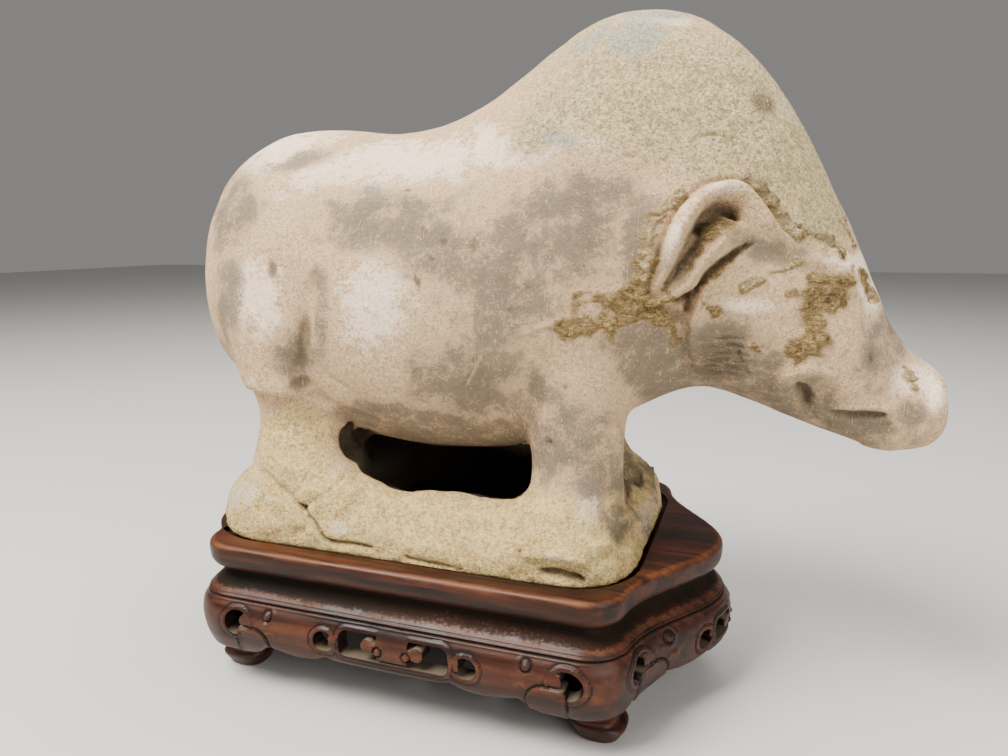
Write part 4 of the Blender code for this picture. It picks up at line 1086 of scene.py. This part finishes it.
def ridge(distance, width):
    """A soft raised line where a distance is 0."""
    return np.exp(-(distance / width)**2)


class Carving:
    """Openings and relief of one ornament group, in mm: a counts towards the corner, z from the floor."""

    def __init__(self, a, z):
        self.a, self.z = a, z
        self.open = np.full(a.shape, 1e3)
        self.rise = np.zeros(a.shape)
        self.dust_and_shade = np.zeros(a.shape)

    def pierce(self, shape, rim=0.5, band=0.9):
        """An opening whose edge is softly rounded, with a thin raised line round it."""
        self.open = np.minimum(self.open, shape)
        self.rise += 0.75 * rim * ridge(shape - band, 0.34) - 0.3 * ridge(shape - band - 0.75, 0.32)
        self.dust_and_shade = np.maximum(self.dust_and_shade, 0.5 * ridge(shape - band - 0.8, 0.4))

    def fill(self, shape, rise=0.0):
        """Wood left standing inside an opening, with its own rounded edge."""
        self.open = np.maximum(self.open, -shape)
        self.rise = np.where(shape < 0.6, self.rise * smooth_step(shape, -0.2, 0.6), self.rise)
        self.rise += rise * smooth_step(-shape, -0.3, 0.5)

    def boss(self, middle, level, radius, height=1.0, groove=0.35):
        """A round knob in a round groove."""
        distance = np.hypot(self.a - middle, self.z - level)
        self.rise *= smooth_step(distance, radius, radius + 0.8)
        self.rise += height * np.sqrt(np.clip(1 - (distance / radius)**2, 0, 1))
        self.rise -= groove * ridge(distance - radius - 0.3, 0.32)
        self.dust_and_shade = np.maximum(self.dust_and_shade, ridge(distance - radius - 0.35, 0.4))

    def line(self, value, height):
        """A raised line, dusty and painted darker as shade along its foot."""
        self.rise += height * value
        self.dust_and_shade = np.maximum(self.dust_and_shade, 2.0 * value * (1 - value))


def slot_line(a, z, start, end, width):
    """A soft straight line between two points."""
    start, end = np.array(start), np.array(end)
    run = end - start
    share = np.clip(((a - start[0]) * run[0] + (z - start[1]) * run[1]) / (run @ run), 0, 1)
    return np.exp(-(np.hypot(a - start[0] - share * run[0], z - start[1] - share * run[1]) / width)**2)


def corner_ornament(a, z):
    """By each corner: a hooked opening, a knob with a tail, a small curl and a cloud plate."""
    made = Carving(a, z)
    made.pierce(slot_shape(a, z, 51.6, 61.0, 20.5, 29.1, 4.1), 0.6)
    made.fill(disc(a, z, 53.2, 26.0, 1.9), 0.15)
    plate = np.maximum(slot_shape(a, z, 44.6, 56.4, 4.0, 23.6, 1.4),
                       np.hypot(np.minimum(a - 50.0, 0), np.maximum(z - 18.4, 0)) - 5.3)
    made.fill(plate, 0.0)
    made.rise += 0.3 * smooth_step(-plate, -0.15, 0.35) + 0.2 * ridge(plate + 0.45, 0.4)
    made.rise -= 0.35 * ridge(plate - 0.45, 0.35)
    made.dust_and_shade = np.maximum(made.dust_and_shade, ridge(plate - 0.45, 0.5) * (z > 16))
    made.rise -= 0.45 * arc_line(a, z, 55.2, 22.6, 1.1, -150, 60, 0.35)
    made.boss(44.3, 28.9, 1.35)
    made.line(arc_line(a, z, 44.6, 28.9, 2.55, 120, 300, 0.42), 0.5)
    made.line(slot_line(a, z, (45.4, 26.6), (47.8, 27.2), 0.42), 0.4)
    made.line(arc_line(a, z, 51.0, 27.2, 1.1, 60, 260, 0.4), 0.4)
    made.line(arc_line(a, z, 43.1, 22.1, 1.6, 0, 180, 0.45), 0.6)
    return made


def side_ornament(a, z):
    """Middle of a long side: a wide opening behind a tongue with two scrolls, and an oval at each end."""
    made = Carving(a, z)
    made.pierce(slot_shape(a, z, -18.8, 18.8, 20.6, 29.2, 2.6), 0.45)
    made.fill(np.minimum(slot_shape(a, z, -5.4, 5.4, 21.5, 40.0, 1.2),
                         slot_shape(a, z, 3.0, 8.0, 23.7, 26.7, 0.8)))
    made.fill(disc(a, z, 8.4, 25.6, 2.2), 0.25)
    made.line(arc_line(a, z, 8.3, 25.7, 1.75, 60, 250, 0.4), 0.3)
    made.line(arc_line(a, z, 6.4, 27.0, 1.0, 120, 330, 0.35), 0.35)
    made.boss(4.9, 24.2, 1.15, 0.75)
    made.line(arc_line(a, z, 4.9, 24.2, 1.95, 100, 330, 0.35), 0.3)
    made.pierce(slot_shape(a, z, 20.6, 28.0, 21.0, 27.6, 3.2), 0.6)
    made.fill(disc(a, z, 21.2, 25.6, 1.15), 0.2)
    made.fill(disc(a, z, 21.5, 23.9, 0.95), 0.1)
    return made


def end_ornament(a, z):
    """Middle of an end: the side's group again, shorter and set lower."""
    made = Carving(a, z)
    made.pierce(slot_shape(a, z, -13.2, 13.2, 19.6, 27.4, 2.6), 0.45)
    made.fill(np.minimum(slot_shape(a, z, -3.2, 3.2, 20.6, 40.0, 1.2),
                         slot_shape(a, z, 2.0, 6.0, 22.6, 25.4, 0.8)))
    made.fill(disc(a, z, 6.2, 24.2, 1.9), 0.25)
    made.boss(3.0, 23.0, 1.0, 0.7)
    made.pierce(slot_shape(a, z, 14.9, 21.3, 19.4, 26.0, 3.0), 0.6)
    made.fill(disc(a, z, 15.5, 24.0, 1.1), 0.2)
    return made


# Where the groups stand along the outline in mm: the long side's groups are a little off its middle,
# and the end's corner groups are longer than the side's by the stretch
SIDE_SHIFT = 3.0
CORNER_SHIFT = 1.8
CORNER_PLACE = 68.0
END_STRETCH = 1.33
END_CORNER_START = 66.8

# The apron's face: height from the floor and offset from the board's outline, in mm
APRON_FACE = [
    (12.6, 0.9), (15.2, 1.8), (17.5, 2.6), (20.0, 3.2), (23.0, 3.6), (26.0, 3.55), (28.5, 3.0),
    (30.0, 2.25), (31.4, 1.1), (32.2, 0.55), (33.2, 0.2),
]

# Lower edge of the apron: distance from the middle of a long side or of an end, and height, in mm
SIDE_LOWER_EDGE = [
    (0, 16.5), (14, 16.6), (19.5, 17.0), (21.6, 18.0), (23.6, 16.8), (27, 15.6), (32, 15.0), (37, 15.7),
    (41, 16.6), (43.6, 17.2), (45.2, 16.0), (47.5, 14.2), (51, 13.2), (67, 12.8),
]
END_LOWER_EDGE = [
    (0, 15.4), (13, 15.4), (15, 16.6), (17, 15.6), (22, 14.9), (28, 14.8), (31, 15.6), (34, 16.2),
    (37, 15.0), (41, 13.6), (46, 13.0), (66, 12.8),
]


def outline_at(places, stand_line):
    """Points and normals of the stand's outline at places along it."""
    outline, known, normals, length = stand_line
    rows = []
    for table in (outline, normals):
        closed = np.vstack([table, table[:1]])
        stops = np.append(known, length)
        rows.append(np.column_stack([np.interp(places, stops, closed[:, axis]) for axis in (0, 1)]))
    return rows


def apron_carving(place, z, total):
    """Openings, relief and dusty grooves painted as shade on the whole apron, from the group that each place
    belongs to.
    """
    side = (place + total / 4) % (total / 2) - total / 4
    front = np.where((place < total / 4) | (place > total * 3 / 4), 1.0, -1.0)
    end = (place % (total / 2)) - total / 4
    from_corner = total / 4 - CORNER_PLACE - np.abs(end)
    stretched = END_CORNER_START - from_corner / END_STRETCH
    groups = [
        (side_ornament, np.where(np.abs(side) < 37, np.abs(side - SIDE_SHIFT * front), 500.0)),
        (corner_ornament, np.where(np.abs(side) < CORNER_PLACE, np.abs(side - CORNER_SHIFT * front), 500.0)),
        (end_ornament, np.where(np.abs(end) < 25, np.abs(end), 500.0)),
        (corner_ornament, np.where(np.abs(end) < total / 4 - CORNER_PLACE, stretched, 500.0)),
    ]
    opening, rise, dust_and_shade = np.full(z.shape, 1e3), np.zeros(z.shape), np.zeros(z.shape)
    for group, local in groups:
        made = group(local, z)
        opening = np.minimum(opening, made.open)
        rise += made.rise
        dust_and_shade = np.maximum(dust_and_shade, made.dust_and_shade)
    return opening, rise, dust_and_shade


def lower_edge(place, total):
    """Height of the apron's lower edge at places along the outline."""
    side = np.abs((place + total / 4) % (total / 2) - total / 4)
    end = np.abs((place % (total / 2)) - total / 4)
    along_side = np.interp(side, *np.array(SIDE_LOWER_EDGE).T)
    along_end = np.interp(end, *np.array(END_LOWER_EDGE).T)
    return np.where(side < CORNER_PLACE, along_side, along_end)


def apron_map(total, step, bead):
    """The apron as a flat sheet of places and heights, clipped along the openings' edges.

    The third coordinate holds the openings' distance, so that one level plane cuts every opening.
    """
    columns = 4 * round(total / step / 4)
    place = np.linspace(0, total, columns + 1)
    bottom = lower_edge(place, total)
    rows = np.concatenate([np.linspace(0, 0.86, 32), np.linspace(0.86, 1, 19)[1:]])[:, None]
    z = bottom[None] + (bead - bottom[None]) * rows
    a = np.broadcast_to(place, z.shape)
    opening = apron_carving(a, z, total)[0]
    grid = np.stack([a, z, np.clip(opening, -3, 3)], axis=-1).reshape(-1, 3)
    index = np.arange(z.size).reshape(z.shape)
    quads = np.stack([index[:-1, :-1], index[:-1, 1:], index[1:, 1:], index[1:, :-1]], axis=-1).reshape(-1, 4)
    mesh = bpy.data.meshes.new("apron_map")
    mesh.from_pydata(grid.tolist(), [], quads.tolist())
    sheet = bmesh.new()
    sheet.from_mesh(mesh)
    everything = sheet.verts[:] + sheet.edges[:] + sheet.faces[:]
    bmesh.ops.bisect_plane(sheet, geom=everything, plane_co=(0, 0, 0), plane_no=(0, 0, 1), clear_inner=True)
    for vertex in sheet.verts:
        vertex.co.z = 0
    bmesh.ops.remove_doubles(sheet, verts=sheet.verts, dist=0.06)
    bmesh.ops.dissolve_degenerate(sheet, edges=sheet.edges, dist=0.02)
    sheet.to_mesh(mesh)
    sheet.free()
    return mesh


def joined(flat, polygons, total):
    """The sheet's polygons with the points of its last column replaced by those of its first."""
    first, last = np.where(flat[:, 0] < 0.01)[0], np.where(flat[:, 0] > total - 0.01)[0]
    twin = np.arange(len(flat))
    twin[last] = first[np.abs(flat[last, None, 1] - flat[None, first, 1]).argmin(axis=1)]
    return [[int(twin[corner]) for corner in polygon] for polygon in polygons]


def walled(face, back, polygons):
    """A closed shell of a face sheet (finish 0), walls at its open edges (1) and its copy behind (2)."""
    count = len(face)
    loops = [(a, b) for polygon in polygons for a, b in zip(polygon, polygon[1:] + polygon[:1])]
    pairs = np.array(loops)
    keys = np.sort(pairs, axis=1) @ (count, 1)
    _, first, uses = np.unique(keys, return_index=True, return_counts=True)
    rim = pairs[first[uses == 1]]
    walls = np.column_stack([rim[:, 1], rim[:, 0], rim[:, 0] + count, rim[:, 1] + count])
    behind = [[corner + count for corner in polygon[::-1]] for polygon in polygons]
    mesh = bpy.data.meshes.new("shell")
    mesh.from_pydata(np.vstack([face, back]).tolist(), [], polygons + behind + walls.tolist())
    finish = np.concatenate([np.zeros(len(polygons)), np.full(len(behind), 2), np.ones(len(walls))])
    finish = finish.astype(np.int32)
    mesh.polygons.foreach_set("material_index", finish)
    return mesh


class STAND_OT_apron(bpy.types.Operator):
    """Adds the pierced and carved apron"""

    bl_idname = "figure.add_apron"
    bl_label = "Add apron"

    def execute(self, context):
        _, stand, _ = settings()
        line = stand_outline(stand.grid)
        total = line[3] / MM
        bead = (STAND_TOP - stand.board_thickness - stand.waist_height) / MM + 0.2
        sheet = apron_map(total, stand.grid / MM, bead)
        flat = point_array(sheet)
        place, z = flat[:, 0], flat[:, 1]
        _, rise, dust_and_shade = apron_carving(place, z, total)
        rise += 0.55 * ridge(bead - 0.65 - z, 0.34) - 0.4 * ridge(bead - 1.35 - z, 0.26)
        rise += 0.2 * ridge(bead - 1.9 - z, 0.3)
        # Dust and painted shade in the groove under the bead
        dust_and_shade = np.maximum(dust_and_shade, 0.7 * ridge(bead - 1.4 - z, 0.4))
        above = z - lower_edge(place, total)
        offset = np.interp(z, *rows_through(APRON_FACE, 8).T) - 1.0 * np.exp(-above / 0.6)
        plan, normals = outline_at(place * MM, line)
        face = np.column_stack([plan + normals * ((offset + rise) * MM)[:, None], z * MM])
        inner = offset * MM - stand.apron_wall
        back = np.column_stack([plan + normals * inner[:, None], z * MM])
        polygons = joined(flat, [polygon.vertices for polygon in sheet.polygons], total)
        mesh = walled(face, back, polygons)
        # Wear and painted highlight on the raised carving and the apron's bulge, and painted shade below zero
        # in the carved grooves
        wear_light_and_shade = 0.16 * smooth_step(rise, 0.15, 0.6) + 0.4 * smooth_step(offset, 2.4, 3.6)
        wear_light_and_shade -= 1.4 * smooth_step(-rise, 0.08, 0.3)
        store(mesh, "dust_and_shade", np.concatenate([dust_and_shade, np.full(len(flat), 0.6)]))
        store(mesh, "wear_light_and_shade", np.concatenate([wear_light_and_shade, np.zeros(len(flat))]))
        shell = bmesh.new()
        shell.from_mesh(mesh)
        bmesh.ops.remove_doubles(shell, verts=shell.verts, dist=0.004 * MM)
        shell.to_mesh(mesh)
        shell.free()
        bpy.data.meshes.remove(sheet)
        materials = [wood_material(stand, "apron_wood", 1.0), wood_material(stand, "opening_shade_wood", 1.0, True),
                     hidden_wood_shade()]
        made = new_object("stand_apron", mesh, materials)
        mesh.set_sharp_from_angle(angle=math.radians(62))
        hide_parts("wooden_stand")
        return {"FINISHED"}


# Level sections of the foot at +X and -Y: height, middle along x from the stand's middle, distance of the
# middle from the middle plane, and half sizes, in mm
FOOT_SECTIONS = [
    (0.0, 64.4, 43.7, 5.9, 5.4), (0.4, 64.4, 43.8, 6.4, 5.9), (2.0, 64.5, 43.9, 7.3, 6.7),
    (3.8, 64.5, 44.0, 8.4, 7.7), (4.8, 64.4, 44.0, 8.7, 8.0), (5.6, 64.0, 44.0, 8.3, 7.8),
    (6.6, 63.3, 44.0, 7.3, 7.1), (8.0, 62.4, 44.4, 7.6, 7.3), (10.0, 61.2, 45.2, 9.7, 8.9),
    (12.0, 60.6, 45.8, 11.8, 10.6), (14.0, 60.5, 46.0, 13.4, 11.9), (18.0, 60.5, 46.0, 12.6, 11.2),
]
FOOT_SQUARENESS = 2.7
FOOT_CORNERS = 72


class STAND_OT_feet(bpy.types.Operator):
    """Adds the four flared feet"""

    bl_idname = "figure.add_feet"
    bl_label = "Add feet"

    def execute(self, context):
        _, stand, _ = settings()
        material = wood_material(stand, "foot_wood", 1.0)
        angles = np.linspace(0, 2 * math.pi, FOOT_CORNERS, endpoint=False)
        power = 2 / FOOT_SQUARENESS
        cosine = np.sign(np.cos(angles)) * np.abs(np.cos(angles))**power
        sine = np.sign(np.sin(angles)) * np.abs(np.sin(angles))**power
        rows = rows_through(FOOT_SECTIONS, 4) * MM
        for name, flip_x, flip_y in (("front_right", 1, -1), ("front_left", 1, 1),
                                     ("back_right", -1, -1), ("back_left", -1, 1)):
            height, x, out, half_x, half_y = (column[:, None] for column in rows.T)
            rings = np.stack([
                STAND_MIDDLE_X + flip_x * (x + half_x * cosine),
                flip_y * (out + half_y * sine),
                np.broadcast_to(height, (len(rows), FOOT_CORNERS)),
            ], axis=-1)
            if flip_x * flip_y < 0:
                rings = rings[:, ::-1]
            poles = [(STAND_MIDDLE_X + flip_x * row[1], flip_y * row[2], row[0])
                     for row in (rows[0], rows[-1])]
            mesh = ring_mesh(f"foot_{name}", rings, poles)
            heights = np.concatenate([np.repeat(rows[:, 0], FOOT_CORNERS), rows[[0, -1], 0]]) / MM
            # Dust and painted shade in the crease under the apron
            store(mesh, "dust_and_shade", 0.8 * ridge(heights - 13.0, 1.2))
            # Wear and painted highlight on the toe's upper face
            store(mesh, "wear_light_and_shade", 0.45 * ridge(heights - 4.4, 1.2))
            made = new_object(f"stand_foot_{name}", mesh, [material])
            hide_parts("wooden_stand")
        return {"FINISHED"}


# Colour of the fill and top lights and of the even light from all round
NEAR_WHITE = (1.0, 0.98, 0.95)


def area_light(name, place, target, size, power, colour):
    """A square soft light that looks at a target."""
    data = bpy.data.lights.new(name, "AREA")
    data.size = size
    data.energy = power
    data.color = colour
    made = bpy.data.objects.new(name, data)
    bpy.context.scene.collection.objects.link(made)
    made.location = place
    made.rotation_euler = (Vector(place) - Vector(target)).to_track_quat("Z", "Y").to_euler()


class STAGE_OT_studio(bpy.types.Operator):
    """Adds the pale floor, the soft lights and the photograph's camera"""

    bl_idname = "figure.add_studio"
    bl_label = "Add studio"

    def execute(self, context):
        _, _, stage = settings()
        reach = 3.0
        mesh = bpy.data.meshes.new("floor")
        corners = [(-reach, -reach, 0), (reach, -reach, 0), (reach, reach, 0), (-reach, reach, 0)]
        mesh.from_pydata(corners, [], [(0, 1, 2, 3)])
        floor = bpy.data.objects.new("floor", mesh)
        context.scene.collection.objects.link(floor)
        graph = Graph("pale_floor")
        shade = graph.mix(graph.noise(60 * MM, 3.0), shaded(stage.floor, 0.97), stage.floor)
        graph.put(graph.shader.inputs["Base Color"], shade)
        graph.shader.inputs["Roughness"].default_value = 0.6
        mesh.materials.append(graph.material)
        target = (0.0, 0.0, 0.1)
        area_light("key", (-0.42, -0.46, 1.0), target, 0.55, stage.key_power, (1.0, 0.955, 0.89))
        area_light("fill", (0.85, -0.62, 0.55), target, 0.8, stage.fill_power, NEAR_WHITE)
        area_light("top", (0.15, 0.2, 1.1), target, 0.7, stage.key_power * 0.3, NEAR_WHITE)
        world = bpy.data.worlds.new("studio")
        world.use_nodes = True
        background = world.node_tree.nodes["Background"]
        background.inputs["Color"].default_value = (*NEAR_WHITE, 1.0)
        background.inputs["Strength"].default_value = stage.sky
        context.scene.world = world
        data = bpy.data.cameras.new("photograph")
        data.sensor_width = SENSOR_WIDTH
        data.lens = FOCAL_PIXELS / IMAGE_WIDTH * SENSOR_WIDTH
        data.clip_start = 10 * MM
        camera = bpy.data.objects.new("photograph", data)
        context.scene.collection.objects.link(camera)
        right, up, forward = camera_axes()
        turn = Matrix([right, up, -forward]).transposed().to_4x4()
        camera.matrix_world = Matrix.Translation(CAMERA_PLACE) @ turn
        context.scene.camera = camera
        return {"FINISHED"}


OPERATORS = (FIGURE_OT_pig, STAND_OT_board, STAND_OT_apron, STAND_OT_feet, STAGE_OT_studio)
GROUPS = (PotterySettings, StandSettings, StageSettings)


class VIEW3D_PT_pottery_pig(bpy.types.Panel):
    """Lists the steps that build the figure, its stand and the studio"""

    bl_label = "Pottery pig"
    bl_space_type = "VIEW_3D"
    bl_region_type = "UI"
    bl_category = "Pottery pig"

    def draw(self, context):
        for operator in OPERATORS:
            self.layout.operator(operator.bl_idname)
        for group, owner in zip(GROUPS, settings()):
            box = self.layout.box()
            for name in group.__annotations__:
                box.prop(owner, name)


def register():
    """Makes the settings, operators and panel known."""
    for item in (*GROUPS, *OPERATORS, VIEW3D_PT_pottery_pig):
        bpy.utils.register_class(item)
    bpy.types.Scene.pottery_settings = PointerProperty(type=PotterySettings)
    bpy.types.Scene.stand_settings = PointerProperty(type=StandSettings)
    bpy.types.Scene.stage_settings = PointerProperty(type=StageSettings)


def unregister():
    """Takes the settings, operators and panel away again."""
    del bpy.types.Scene.pottery_settings
    del bpy.types.Scene.stand_settings
    del bpy.types.Scene.stage_settings
    for item in (VIEW3D_PT_pottery_pig, *OPERATORS[::-1], *GROUPS[::-1]):
        bpy.utils.unregister_class(item)


def main():
    """Builds every piece and the studio in order."""
    register()
    bpy.ops.figure.add_pig()
    bpy.ops.figure.add_board()
    bpy.ops.figure.add_apron()
    bpy.ops.figure.add_feet()
    bpy.ops.figure.add_studio()
    bpy.context.view_layer.update()


if __name__ == "__main__":
    main()
